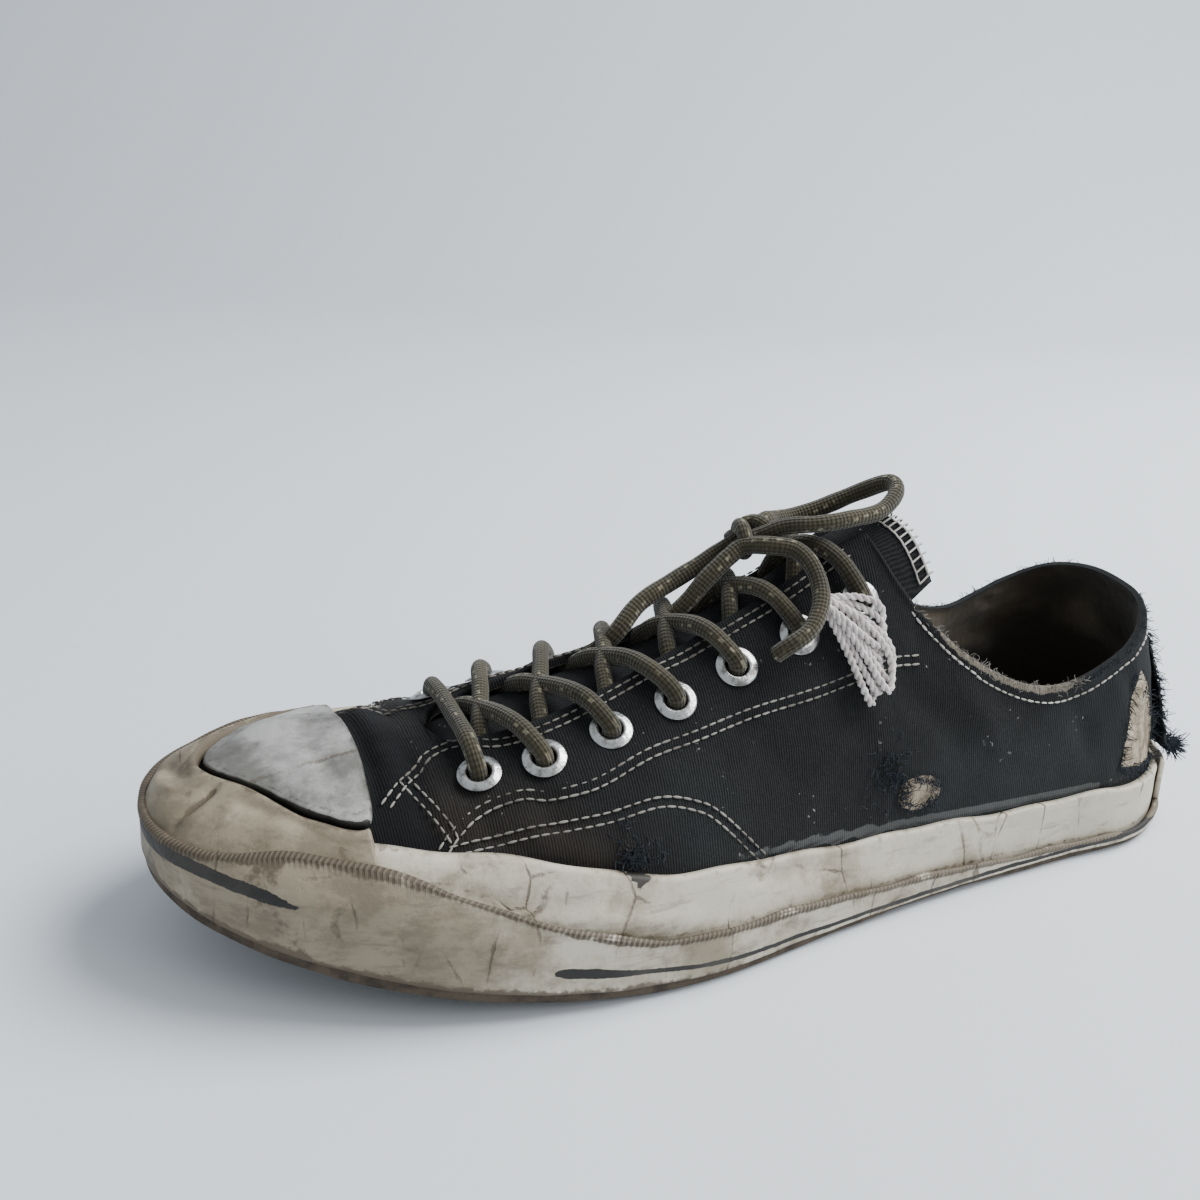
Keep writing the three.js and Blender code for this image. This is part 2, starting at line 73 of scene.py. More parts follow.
INSTEP = [(-150, 118), (-100, 116), (-60, 109), (-30, 97), (0, 81), (30, 67), (60, 57), (85, 50), (110, 47),
          (146, 44)]
SLOPE = [(-150, 0.1), (-90, 0.08), (-45, 0.27), (-20, 0.29), (20, 0.14), (60, 0), (150, -0.1)]
FOXING_TOP = [(-150, 17), (-120, 18.8), (-90, 19.3), (-30, 22.5), (30, 28), (80, 32.5), (110, 29), (150, 15)]
TAPE_TOP = [(-150, 5.5), (-100, 5.5), (-50, 8.5), (0, 12.5), (24, 14), (45, 15.5), (65, 20), (84, 25.5),
            (120, 26), (150, 14)]
OUTSOLE_THICKNESS = [(-150, 2.4), (-20, 2.6), (60, 3.2), (150, 3.8)]
COLLAR_OUTER = [(-146, 75), (-130, 68.5), (-112, 59.5), (-90, 52.5), (-66, 59), (-50, 70), (-41, 79),
                (-36, 86), (-31, 97), (-20, 130)]
COLLAR_INNER = [(-146, 75), (-130, 71), (-112, 62), (-90, 55), (-66, 64), (-50, 77), (-41, 84), (-36, 89),
                (-31, 98), (-20, 130)]
THROAT_FRONT = 83
THROAT_OUTER = [(-30, 8.5), (0, 10.5), (30, 12.5), (48, 14.5), (62, 14.5), (74, 11.5), (81, 7), (83, 1)]
THROAT_INNER = [(-30, -6), (0, -7), (30, -8.5), (48, -9.5), (62, -9.5), (74, -8), (81, -4), (83, 1)]
EYELET_X = [76, 61, 44, 27, 10, -8, -26]
EYELET_OUTER_Y = [23.5, 26, 25, 24, 22, 20, 18.5]
EYELET_INNER_Y = [-19, -20, -19.5, -18.5, -17.5, -16.5, -15.5]
EYELETS = list(zip(EYELET_X, EYELET_OUTER_Y)) + list(zip(EYELET_X, EYELET_INNER_Y))
TOE_DROP = {"length": 42, "power": 2.6}
HEEL_LEAN = {"front": -85, "run": 65, "by": 16, "from": 20, "over": 48, "power": 1.5, "top": 1.3}
ARCH = {"rise": 1.2, "back": -80, "length": 75}


# ---------- the last ----------
def along(stations, x):
    """A smooth curve through stations, at one or many places."""
    table = np.array(stations, float)
    at, values = table[:, 0], table[:, 1]
    steps = np.diff(at)
    slopes = np.diff(values) / steps
    tangents = np.empty(len(at))
    tangents[0], tangents[-1] = slopes[0], slopes[-1]
    tangents[1:-1] = (slopes[:-1] * steps[1:] + slopes[1:] * steps[:-1]) / (steps[:-1] + steps[1:])
    x = np.clip(x, at[0], at[-1])
    i = np.clip(np.searchsorted(at, x, side="right") - 1, 0, len(at) - 2)
    t = (x - at[i]) / steps[i]
    return ((2 * t**3 - 3 * t**2 + 1) * values[i] + (t**3 - 2 * t**2 + t) * steps[i] * tangents[i]
            + (3 * t**2 - 2 * t**3) * values[i + 1] + (t**3 - t**2) * steps[i] * tangents[i + 1])


def rounding(distance, length, power):
    t = np.clip(distance / length, 0, 1)
    return (1 - (1 - t) ** power) ** (1 / power)


def step_up(value, low, high):
    """0 below low, 1 above high, smooth between them."""
    t = np.clip((value - low) / (high - low), 0, 1)
    return t * t * (3 - 2 * t)


def spring(x):
    return TOE_SPRING * np.clip((x - SPRING_START) / (HALF - SPRING_START), 0, 1) ** 2


def foxing_top(x):
    return spring(x) + along(FOXING_TOP, x)


def tape_top(x):
    return spring(x) + along(TAPE_TOP, x)


def outsole_top(x):
    return spring(x) + along(OUTSOLE_THICKNESS, x)


def half_width(x, side, inset):
    edge = np.where(side > 0, along(OUTER_EDGE, x), along(INNER_EDGE, x)) - side * inset
    ends = rounding(x + HALF - inset, HEEL_ROUND, 2) * rounding(HALF - inset - x, TOE_ROUND, TOE_POWER)
    return (edge - along(MIDDLE, x)) * ends


def section(x, offset):
    floor = spring(x) + LAST_FLOOR
    toe = rounding(HALF - RUBBER_INSET + offset - x, TOE_DROP["length"], TOE_DROP["power"])
    return floor, (along(INSTEP, x) + offset - floor) * toe, along(SLOPE, x)


def lean(x, z):
    near = np.clip((HEEL_LEAN["front"] - x) / HEEL_LEAN["run"], 0, 1) ** 2
    up = np.clip((z - HEEL_LEAN["from"]) / HEEL_LEAN["over"], 0, HEEL_LEAN["top"])
    return near * HEEL_LEAN["by"] * up ** HEEL_LEAN["power"]


def last_point(x, angle, offset):
    """A point of the grown last: angle 0 is the outer feather edge, pi the inner one."""
    x, angle = np.broadcast_arrays(np.asarray(x, float), np.asarray(angle, float))
    side = np.where(angle < math.pi / 2, 1, -1)
    floor, height, slope = section(x, offset)
    sine = np.sin(angle)
    width = half_width(x, side, RUBBER_INSET - offset) * np.abs(np.cos(angle)) * (1 - slope * sine)
    z = floor + height * sine
    return np.stack([x + lean(x, z), along(MIDDLE, x) + width, z], -1)


def bisect(test, shape):
    """The angle, from 0 to a right angle, where test turns from true to false."""
    low = np.zeros(shape)
    high = np.full(shape, math.pi / 2)
    for _ in range(26):
        middle = (low + high) / 2
        keep = test(middle)
        low = np.where(keep, middle, low)
        high = np.where(keep, high, middle)
    return low


def last_height(x, y, offset):
    x, y = np.broadcast_arrays(np.asarray(x, float), np.asarray(y, float))
    floor, height, slope = section(x, offset)
    away = y - along(MIDDLE, x)
    side = np.where(away < 0, -1, 1)
    reach = away / half_width(x, side, RUBBER_INSET - offset)
    angle = bisect(lambda a: np.cos(a) * (1 - slope * np.sin(a)) > reach, x.shape)
    return floor + height * np.sin(angle)


def seat(x, y):
    """The place and outward direction of a point on the top of the canvas."""
    delta = 0.5
    x, y = np.broadcast_arrays(np.asarray(x, float), np.asarray(y, float))
    rise_x = (last_height(x + delta, y, 0) - last_height(x - delta, y, 0)) / (2 * delta)
    rise_y = (last_height(x, y + delta, 0) - last_height(x, y - delta, 0)) / (2 * delta)
    normal = np.stack([-rise_x, -rise_y, np.ones_like(rise_x)], -1)
    normal /= np.linalg.norm(normal, axis=-1, keepdims=True)
    return np.stack([x, y, last_height(x, y, 0)], -1), normal


def over(row):
    """A point at a height straight out from the canvas: [x, y, height]."""
    point, normal = seat(row[0], row[1])
    return point + normal * row[2]


def on_side(x, z, side, offset=0.0):
    """A point on the side of the last, at a height above the floor."""
    x, z = np.broadcast_arrays(np.asarray(x, float), np.asarray(z, float))
    floor, height, _ = section(x, offset)
    angle = np.arcsin(np.clip((z - floor) / height, 0, 0.999))
    return last_point(x, angle if side > 0 else math.pi - angle, offset)


# ---------- lines and soft shapes ----------
def span_curve(a, b, c, d, steps):
    """A smooth stretch from b to c, which heads for its neighbours a and d."""
    t = np.linspace(0, 1, steps, endpoint=False)[:, None]
    return 0.5 * (2 * b + (c - a) * t + (2 * a - 5 * b + 4 * c - d) * t**2 + (3 * b - a - 3 * c + d) * t**3)


def run_along(path):
    """The distance along a path to each of its points."""
    return np.concatenate([[0], np.cumsum(np.linalg.norm(np.diff(path, axis=0), axis=1))])


def points_at(path, places, count, endpoint=True):
    """Evenly spaced points of a path, whose own points lie at the places given."""
    even = np.linspace(0, places[-1], count, endpoint=endpoint)
    return np.stack([np.interp(even, places, path[:, k]) for k in range(path.shape[1])], -1)


def smooth_line(points, step=1.0):
    """A smooth open line through a few points, sampled evenly."""
    p = np.array(points, float)
    ends = np.vstack([2 * p[0] - p[1], p, 2 * p[-1] - p[-2]])
    fine = np.vstack([*(span_curve(*ends[i:i + 4], 24) for i in range(len(p) - 1)), p[-1:]])
    run = run_along(fine)
    return points_at(fine, run, max(2, int(round(run[-1] / step)) + 1))


def closed_line(points, count):
    """A smooth closed line through a few points, sampled evenly."""
    p = np.array(points, float)
    n = len(p)
    spans = [span_curve(p[i - 1], p[i], p[(i + 1) % n], p[(i + 2) % n], 30) for i in range(n)]
    fine = np.vstack([*spans, p[:1]])
    return points_at(fine, run_along(fine), count, endpoint=False)


def line_length(points):
    return float(np.linalg.norm(np.diff(points, axis=0), axis=1).sum())


def distance_to(points, line):
    """How far each point lies from a line, and how far along the line, from 0 to 1, its foot is."""
    flat = points.reshape(-1, points.shape[-1])
    best = np.full(len(flat), 1e9)
    where = np.zeros(len(flat))
    for i in range(len(line) - 1):
        a, b = line[i], line[i + 1]
        run = b - a
        t = np.clip((flat - a) @ run / max(run @ run, 1e-9), 0, 1)
        away = np.linalg.norm(flat - a - t[:, None] * run, axis=1)
        nearer = away < best
        best = np.where(nearer, away, best)
        where = np.where(nearer, (i + t) / (len(line) - 1), where)
    return best.reshape(points.shape[:-1]), where.reshape(points.shape[:-1])


def ridge(points, line, width, height):
    """A soft ridge of that half width along a line, or a trough if height is negative. It fades out at
    both ends."""
    away, where = distance_to(points, smooth_line(line, 4))
    fade = step_up(where, -0.02, 0.25) * step_up(-where, -1.02, -0.75)
    return height * np.exp(-((away / width) ** 2)) * fade


def waves(points, length, seed, count=9):
    """A smooth uneven field of about that wavelength, from -1 to 1."""
    chance = np.random.default_rng(seed)
    total = np.zeros(points.shape[:-1])
    for _ in range(count):
        way = chance.normal(size=3)
        way *= 2 * math.pi / (length * chance.uniform(0.7, 1.6) * np.linalg.norm(way))
        total += np.sin(points @ way + chance.uniform(0, 6.3))
    return total / math.sqrt(count * 2)


def grid_normals(grid):
    """Unit normals of a grid of points, rows by columns."""
    normal = np.cross(np.gradient(grid, axis=1), np.gradient(grid, axis=0))
    return normal / np.maximum(np.linalg.norm(normal, axis=-1, keepdims=True), 1e-9)


# ---------- meshes ----------
def mesh_piece(name, points, faces, material, fields=None, corners=None, smooth=True):
    """A mesh in metres. fields are values at its points; corners is the UV of each face corner."""
    mesh = bpy.data.meshes.new(name)
    mesh.from_pydata((np.asarray(points, float) * MM).tolist(), [], [list(map(int, f)) for f in faces])
    for key, values in (fields or {}).items():
        layer = mesh.attributes.new(key, "FLOAT", "POINT")
        layer.data.foreach_set("value", np.asarray(values, np.float32).ravel())
    if corners is not None:
        layer = mesh.uv_layers.new(name="cloth")
        layer.data.foreach_set("uv", np.asarray(corners, np.float32).ravel())
    mesh.polygons.foreach_set("use_smooth", [smooth] * len(mesh.polygons))
    mesh.materials.append(material)
    piece = bpy.data.objects.new(name, mesh)
    bpy.context.scene.collection.objects.link(piece)
    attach(piece, "root")
    return piece


def grid_faces(rows, columns, start=0, wrap=False, flip=False):
    """Faces of a grid of points, and the matching cells of an unwrapped grid of corners."""
    last = columns if wrap else columns - 1
    r, c = np.meshgrid(np.arange(rows - 1), np.arange(last), indexing="ij")
    r, c = r.ravel(), c.ravel()
    after = (c + 1) % columns
    low, high = r * columns, (r + 1) * columns
    faces = np.stack([low + c, low + after, high + after, high + c], -1)
    wide = columns + 1
    low, high = r * wide, (r + 1) * wide
    cells = np.stack([low + c, low + c + 1, high + c + 1, high + c], -1)
    if flip:
        faces, cells = faces[:, ::-1], cells[:, ::-1]
    return faces + start, cells


def frames_along(path):
    """Directions along a path, and two steady directions across it."""
    tangent = np.gradient(path, axis=0)
    tangent /= np.linalg.norm(tangent, axis=1, keepdims=True)
    start = np.array([0.0, 0.0, 1.0])
    if abs(tangent[0] @ start) > 0.9:
        start = np.array([0.0, 1.0, 0.0])
    side = np.empty_like(path)
    for i, way in enumerate(tangent):
        start = start - way * (start @ way)
        start /= np.linalg.norm(start)
        side[i] = start
    return tangent, side, np.cross(tangent, side)


def tube(path, radius, sides=12, flatten=1.0, closed_ends=True):
    """Points, faces and corners of a tube along a path. radius is one value or one for each point."""
    _, side, up = frames_along(path)
    radius = np.broadcast_to(np.asarray(radius, float), (len(path),))
    turn = np.linspace(0, 2 * math.pi, sides, endpoint=False)
    ring = (np.cos(turn)[None, :, None] * side[:, None] + flatten * np.sin(turn)[None, :, None] * up[:, None])
    points = (path[:, None] + ring * radius[:, None, None]).reshape(-1, 3)
    faces, cells = grid_faces(len(path), sides, wrap=True)
    run = run_along(path)
    lap = np.linspace(0, 1, sides + 1)[None, :]
    uv = np.stack(np.broadcast_arrays(lap, run[:, None] * MM), -1).reshape(-1, 2)
    faces = faces.tolist()
    corners = uv[cells].reshape(-1, 2).tolist()
    if closed_ends:
        for at, row, order in ((path[0], 0, 1), (path[-1], len(path) - 1, -1)):
            middle = len(points)
            points = np.vstack([points, at])
            for c in range(sides):
                a, b = row * sides + c, row * sides + (c + 1) % sides
                faces.append([middle, b, a][::order])
                corners += [[(c + 0.5) / sides, run[row] * MM]] * 3
    return points, faces, corners


def joined(parts):
    """Several point, face and corner sets as one."""
    points, faces, corners, start = [], [], [], 0
    for p, f, c in parts:
        points.append(p)
        faces += [[i + start for i in face] for face in f]
        corners += list(c)
        start += len(p)
    return np.vstack(points), faces, corners


# ---------- materials ----------
class Paint:
    """A material that is built node by node."""

    def __init__(self, name):
        self.material = bpy.data.materials.new(name)
        self.material.use_nodes = True
        self.tree = self.material.node_tree
        self.shader = self.tree.nodes["Principled BSDF"]
        self.place = self.tree.nodes.new("ShaderNodeTexCoord").outputs["Object"]

    def link(self, socket, value):
        if isinstance(value, bpy.types.NodeSocket):
            self.tree.links.new(value, socket)
        elif value is not None:
            socket.default_value = value

    def node(self, kind, *values, **settings):
        made = self.tree.nodes.new(kind)
        for key, value in settings.items():
            setattr(made, key, value)
        for socket, value in zip(made.inputs, values):
            self.link(socket, value)
        return made

    def math(self, operation, a, b=None, c=None, clamp=False):
        return self.node("ShaderNodeMath", a, b, c, operation=operation, use_clamp=clamp).outputs[0]

    def field(self, name):
        return self.node("ShaderNodeAttribute", attribute_name=name).outputs["Fac"]

    def rough_field(self, name, noise, amount):
        """A field with noise added, so that its edge is ragged."""
        return self.math("MULTIPLY_ADD", noise, amount, self.field(name))

    def centred(self, noise):
        return self.math("SUBTRACT", noise, 0.5)

    def stretched(self, vector, scale):
        made = self.tree.nodes.new("ShaderNodeMapping")
        self.link(made.inputs["Vector"], vector)
        made.inputs["Scale"].default_value = scale
        return made.outputs[0]

    def noise(self, size, detail=4.0, rough=0.55, vector=None):
        """Noise with features of that size, in metres."""
        made = self.tree.nodes.new("ShaderNodeTexNoise")
        self.link(made.inputs["Vector"], self.place if vector is None else vector)
        made.inputs["Scale"].default_value = 1 / size
        made.inputs["Detail"].default_value = detail
        made.inputs["Roughness"].default_value = rough
        return made.outputs[0]

    def cells(self, size, feature="DISTANCE_TO_EDGE", vector=None):
        made = self.tree.nodes.new("ShaderNodeTexVoronoi")
        made.feature = feature
        self.link(made.inputs["Vector"], self.place if vector is None else vector)
        made.inputs["Scale"].default_value = 1 / size
        return made.outputs["Distance"]

    def between(self, value, low, high):
        """0 below low, 1 above high, or the other way round."""
        made = self.tree.nodes.new("ShaderNodeMapRange")
        made.interpolation_type = "SMOOTHSTEP"
        self.link(made.inputs[0], value)
        made.inputs[1].default_value = min(low, high)
        made.inputs[2].default_value = max(low, high)
        made.inputs[3].default_value = 0.0 if low < high else 1.0
        made.inputs[4].default_value = 1.0 if low < high else 0.0
        return made.outputs[0]

    def mix(self, part, a, b):
        made = self.tree.nodes.new("ShaderNodeMix")
        made.data_type = "RGBA"
        self.link(made.inputs[0], part)
        self.link(made.inputs[6], (*a, 1) if isinstance(a, tuple) else a)
        self.link(made.inputs[7], (*b, 1) if isinstance(b, tuple) else b)
        return made.outputs[2]

    def times(self, *values):
        total = values[0]
        for value in values[1:]:
            total = self.math("MULTIPLY", total, value)
        return total

    def most(self, a, b):
        return self.math("MAXIMUM", a, b)

    def bump(self, height, distance, strength=1.0, below=None):
        """A bump of that height, in metres, for a height from 0 to 1."""
        made = self.tree.nodes.new("ShaderNodeBump")
        made.inputs["Strength"].default_value = strength
        made.inputs["Distance"].default_value = distance
        self.link(made.inputs["Height"], height)
        self.link(made.inputs["Normal"], below)
        return made.outputs[0]

    def finish(self, color, roughness, normal=None, metallic=0.0, sheen=0.0, specular=0.3):
        self.link(self.shader.inputs["Base Color"], (*color, 1) if isinstance(color, tuple) else color)
        self.link(self.shader.inputs["Roughness"], roughness)
        self.link(self.shader.inputs["Normal"], normal)
        self.shader.inputs["Metallic"].default_value = metallic
        self.shader.inputs["Sheen Weight"].default_value = sheen
        self.shader.inputs["Specular IOR Level"].default_value = specular
        return self.material


def cloth_uv(paint):
    split = paint.node("ShaderNodeSeparateXYZ", paint.node("ShaderNodeUVMap", uv_map="cloth").outputs[0])
    return split.outputs[0], split.outputs[1]


RIB = 0.0007          # spacing of the canvas ribs


def canvas_paint(name, dark, faded, warm):
    """Black cotton canvas. Fields: fade, brown, worn, dust, hem and glue, and one for grime and painted
    shade, each from 0 to 1.
    """
    paint = Paint(name)
    u, v = cloth_uv(paint)
    drift = paint.noise(0.004, 2.0)
    across = paint.math("ADD", u, paint.times(drift, 0.0006))
    up = paint.math("ADD", v, paint.times(drift, 0.0006))
    ribs = paint.math("SINE", paint.times(across, 2 * math.pi / RIB))
    picks = paint.math("SINE", paint.times(up, 2 * math.pi / (RIB * 0.7)))
    weave = paint.math("MULTIPLY_ADD", ribs, 0.36, 0.5)
    weave = paint.math("ADD", weave, paint.times(ribs, picks, 0.3))
    weave = paint.math("ADD", weave, paint.times(paint.noise(0.0009, 2.0), 0.5))
    cloud = paint.noise(0.03, 5.0, 0.6)
    speck = paint.between(paint.noise(0.0016, 3.0, 0.7), 0.66, 0.78)
    fade = paint.between(paint.rough_field("fade", cloud, 0.7), 0.42, 1.15)
    brown = paint.between(paint.rough_field("brown", cloud, 0.6), 0.5, 1.1)
    color = paint.mix(fade, dark, faded)
    color = paint.mix(brown, color, warm)
    color = paint.mix(paint.times(speck, 0.3), color, (0.12, 0.11, 0.1))
    tops = paint.times(paint.between(weave, 0.55, 1.1), paint.math("MULTIPLY_ADD", cloud, 0.4, 0.05))
    color = paint.mix(tops, color, (0.06, 0.061, 0.06))
    lint = paint.between(paint.noise(0.0017, 1.0, 0.4), 0.72, 0.78)
    lint = paint.times(lint, paint.between(paint.noise(0.013, 2.0), 0.5, 0.62))
    color = paint.mix(paint.times(lint, 0.55), color, (0.36, 0.36, 0.35))
    ragged = paint.times(paint.centred(paint.noise(0.0024, 4.0, 0.7)), 1.1)
    dust = paint.between(paint.rough_field("dust", ragged, 1), 0.3, 0.9)
    color = paint.mix(paint.times(dust, 0.6), color, (0.25, 0.225, 0.185))
    glue = paint.between(paint.rough_field("glue", ragged, 0.5), 0.4, 0.6)
    color = paint.mix(paint.times(glue, 0.8), color, (0.085, 0.088, 0.088))
    hem = paint.between(paint.rough_field("hem", ragged, 1), 0.42, 0.62)
    color = paint.mix(paint.times(hem, 0.85), color, (0.19, 0.165, 0.13))
    worn = paint.between(paint.rough_field("worn", ragged, 0.28), 0.47, 0.53)
    blotch = paint.between(paint.noise(0.004, 5.0, 0.7), 0.35, 0.7)
    patch = paint.mix(blotch, (0.2, 0.155, 0.105), (0.5, 0.43, 0.33))
    color = paint.mix(worn, color, patch)
    # Near black for grime, and for painted shade in the trough behind the toe cap and round the rubbed patch.
    dirt_and_shade = paint.between(paint.rough_field("grime", cloud, 0.5), 0.5, 1.0)
    color = paint.mix(paint.times(dirt_and_shade, 0.85), color, (0.006, 0.006, 0.007))
    normal = paint.bump(weave, 0.00022, 0.9)
    normal = paint.bump(paint.noise(0.005, 4.0, 0.65), 0.0007, 0.6, normal)
    return paint.finish(color, 0.95, normal, sheen=0.02, specular=0.12)


def lining_paint(name, clean, dirty):
    """The cotton lining inside. One field, darker towards the heel and lower down."""
    paint = Paint(name)
    u, v = cloth_uv(paint)
    ribs = paint.math("SINE", paint.times(u, 2 * math.pi / RIB))
    picks = paint.math("SINE", paint.times(v, 2 * math.pi / RIB))
    weave = paint.math("MULTIPLY_ADD", paint.times(ribs, picks), 0.4, 0.5)
    cloud = paint.noise(0.018, 6.0, 0.65)
    grime = paint.between(paint.rough_field("grime", cloud, 1), 0.35, 1.15)
    color = paint.mix(grime, clean, dirty)
    streak = paint.noise(0.006, 5.0, 0.7, paint.stretched(paint.place, (0.35, 0.35, 1.8)))
    color = paint.mix(paint.times(paint.between(streak, 0.52, 0.75), 0.6), color, (0.05, 0.038, 0.027))
    normal = paint.bump(weave, 0.0002, 0.7)
    normal = paint.bump(paint.noise(0.007, 4.0, 0.6), 0.001, 0.8, normal)
    return paint.finish(color, 0.95, normal, sheen=0.15, specular=0.15)


KNURL = 0.0013         # spacing of the ribs on the bead of the tape


def rubber_paint(name, clean, grimy, brown, rough=0.62, crack_size=0.012):
    """Old vulcanised rubber. Fields, from 0 to 1: one for grime, with a painted shadow along the tape's top
    edge; crust; and one for dark stripes, with painted shade in the gap where the toe cap meets the bumper;
    line in millimetres.
    """
    paint = Paint(name)
    cloud = paint.noise(0.022, 6.0, 0.62)
    fine = paint.noise(0.0035, 5.0, 0.7)
    scuff = paint.noise(0.004, 4.0, 0.6, paint.stretched(paint.place, (0.25, 0.25, 1.6)))
    grit = paint.centred(fine)
    grime = paint.math("MULTIPLY_ADD", grit, 0.9, paint.rough_field("grime", paint.centred(cloud), 1.7))
    color = paint.mix(paint.between(grime, 0.15, 0.95), clean, grimy)
    color = paint.mix(paint.times(paint.between(scuff, 0.55, 0.72), 0.4), color, brown)
    edges = paint.cells(crack_size, vector=paint.stretched(paint.place, (1.0, 1.0, 0.45)))
    wander = paint.math("MULTIPLY_ADD", grit, 0.12, edges)
    crack = paint.times(paint.between(wander, 0.03, 0.0), paint.between(cloud, 0.48, 0.62))
    color = paint.mix(paint.times(crack, 0.75), color, (0.09, 0.065, 0.042))
    u, v = cloth_uv(paint)
    smudge = paint.noise(0.009, 6.0, 0.72, paint.stretched(paint.place, (0.7, 0.7, 1.3)))
    smudge = paint.math("ADD", smudge, paint.times(paint.field("grime"), 0.16))
    color = paint.mix(paint.times(paint.between(smudge, 0.58, 0.8), 0.5), color, brown)
    crust = paint.between(paint.rough_field("crust", grit, 1.5), 0.35, 0.7)
    color = paint.mix(paint.times(crust, 0.85), color, brown)
    slant = paint.math("ADD", u, paint.times(v, 0.6))
    ticks = paint.math("SINE", paint.times(slant, 2 * math.pi / KNURL))
    ticks = paint.math("MULTIPLY_ADD", grit, 2.2, ticks)
    bead = paint.times(paint.field("bead"), paint.between(ticks, -0.5, 0.5))
    color = paint.mix(paint.times(bead, 0.8), color, (0.035, 0.025, 0.016))
    pit = paint.between(paint.noise(0.0012, 3.0, 0.6), 0.68, 0.75)
    color = paint.mix(paint.times(pit, 0.45), color, (0.1, 0.075, 0.05))
    # Near black: printed stripes, the tear's notch, the heel seam, and painted shade in the gap where the toe
    # cap meets the bumper.
    stripe = paint.between(paint.rough_field("stripe", grit, 0.7), 0.42, 0.58)
    black = paint.mix(paint.between(cloud, 0.4, 0.7), (0.016, 0.015, 0.014), (0.05, 0.045, 0.038))
    color = paint.mix(stripe, color, black)
    height = paint.math("SUBTRACT", paint.times(fine, 0.5), paint.times(crack, 0.8))
    height = paint.math("SUBTRACT", height, paint.times(bead, 0.5))
    normal = paint.bump(height, 0.0005, 0.8)
    normal = paint.bump(paint.noise(0.0008, 2.0), 0.0001, 0.6, normal)
    return paint.finish(color, rough, normal, specular=0.35)


BRAID = 0.0021         # length of one crossing of the lace's braid
BRAID_STRANDS = 8


def lace_paint(name, dark, light, fleck):
    """A round braided cord: two sets of strands crossing, with pale flecks on a few of them."""
    paint = Paint(name)
    u, v = cloth_uv(paint)
    lap = paint.times(u, BRAID_STRANDS)
    uneven = paint.math("MULTIPLY_ADD", paint.noise(0.003, 2.0), 0.0009, v)
    run = paint.times(uneven, 1 / BRAID)
    one = paint.math("SINE", paint.times(paint.math("ADD", lap, run), 2 * math.pi))
    two = paint.math("SINE", paint.times(paint.math("SUBTRACT", lap, run), 2 * math.pi))
    braid = paint.math("MULTIPLY_ADD", paint.times(one, two), 0.5, 0.5)
    cloud = paint.noise(0.012, 4.0)
    color = paint.mix(paint.between(paint.math("ADD", braid, paint.times(cloud, 1.6)), 0.5, 2.0),
                      dark, light)
    line = paint.math("FRACT", paint.math("ADD", paint.times(u, 3), paint.times(v, 30)))
    dash = paint.math("FRACT", paint.times(v, 1 / 0.0031))
    spot = paint.times(paint.between(paint.math("ABSOLUTE", paint.math("SUBTRACT", line, 0.5)), 0.11, 0.06),
                       paint.between(paint.math("ABSOLUTE", paint.math("SUBTRACT", dash, 0.5)), 0.26, 0.16),
                       paint.between(paint.noise(0.006, 2.0), 0.46, 0.56))
    color = paint.mix(paint.times(spot, 0.6), color, fleck)
    fuzz = paint.noise(0.0007, 3.0, 0.7)
    color = paint.mix(paint.times(paint.between(fuzz, 0.55, 0.8), 0.35), color, (0.11, 0.1, 0.065))
    normal = paint.bump(paint.math("ADD", braid, paint.times(fuzz, 0.8)), 0.00035, 0.9)
    return paint.finish(color, 0.9, normal, sheen=0.2, specular=0.2)


def plain_paint(name, color, shade, rough=0.9, size=0.004, depth=0.0002, sheen=0.2):
    paint = Paint(name)
    spread = paint.between(paint.noise(size, 4.0, 0.6), 0.35, 0.7)
    normal = paint.bump(paint.noise(size / 4, 3.0), depth, 0.8)
    return paint.finish(paint.mix(spread, color, shade), rough, normal, sheen=sheen, specular=0.25)


def metal_paint(name):
    """Dull aluminium with dents, painted shade inside the hole and under the rim, and small dark pits."""
    paint = Paint(name)
    cloud = paint.noise(0.0025, 4.0, 0.6)
    color = paint.mix(paint.between(cloud, 0.42, 0.68), (0.55, 0.55, 0.545), (0.2, 0.19, 0.175))
    # Painted shade: dark inside the hole and under the rim, from the corner field, with small dark pits.
    shade = paint.most(paint.field("corner"), paint.between(paint.noise(0.0009, 2.0), 0.64, 0.72))
    color = paint.mix(paint.times(shade, 0.85), color, (0.05, 0.045, 0.04))
    rough = paint.math("MULTIPLY_ADD", cloud, 0.3, 0.14)
    return paint.finish(color, rough, paint.bump(paint.noise(0.0016, 3.0), 0.00025, 0.7), metallic=0.95)


QUARTER_CANVAS = canvas_paint("charcoal canvas", (0.0065, 0.0066, 0.0072), (0.0155, 0.0175, 0.0185),
                              (0.017, 0.0125, 0.0095))
TONGUE_CANVAS = canvas_paint("tongue canvas", (0.007, 0.0072, 0.008), (0.02, 0.021, 0.024),
                             (0.02, 0.016, 0.012))
LINING = lining_paint("cotton lining", (0.11, 0.088, 0.062), (0.03, 0.023, 0.016))
SOCK = lining_paint("insole cloth", (0.05, 0.038, 0.027), (0.014, 0.011, 0.008))
FOXING_RUBBER = rubber_paint("foxing rubber", (0.5, 0.455, 0.365), (0.25, 0.21, 0.148), (0.085, 0.064, 0.042))
CAP_RUBBER = rubber_paint("toe cap rubber", (0.335, 0.33, 0.31), (0.125, 0.12, 0.108),
                          (0.05, 0.046, 0.04), 0.5, 0.03)
OUTSOLE_RUBBER = plain_paint("outsole rubber", (0.085, 0.066, 0.048), (0.035, 0.027, 0.02), 0.85, 0.006,
                             0.0004, 0.0)
MIDSOLE_FOAM = plain_paint("midsole sponge", (0.45, 0.38, 0.29), (0.3, 0.25, 0.18), 0.95, 0.004, 0.0003, 0.0)
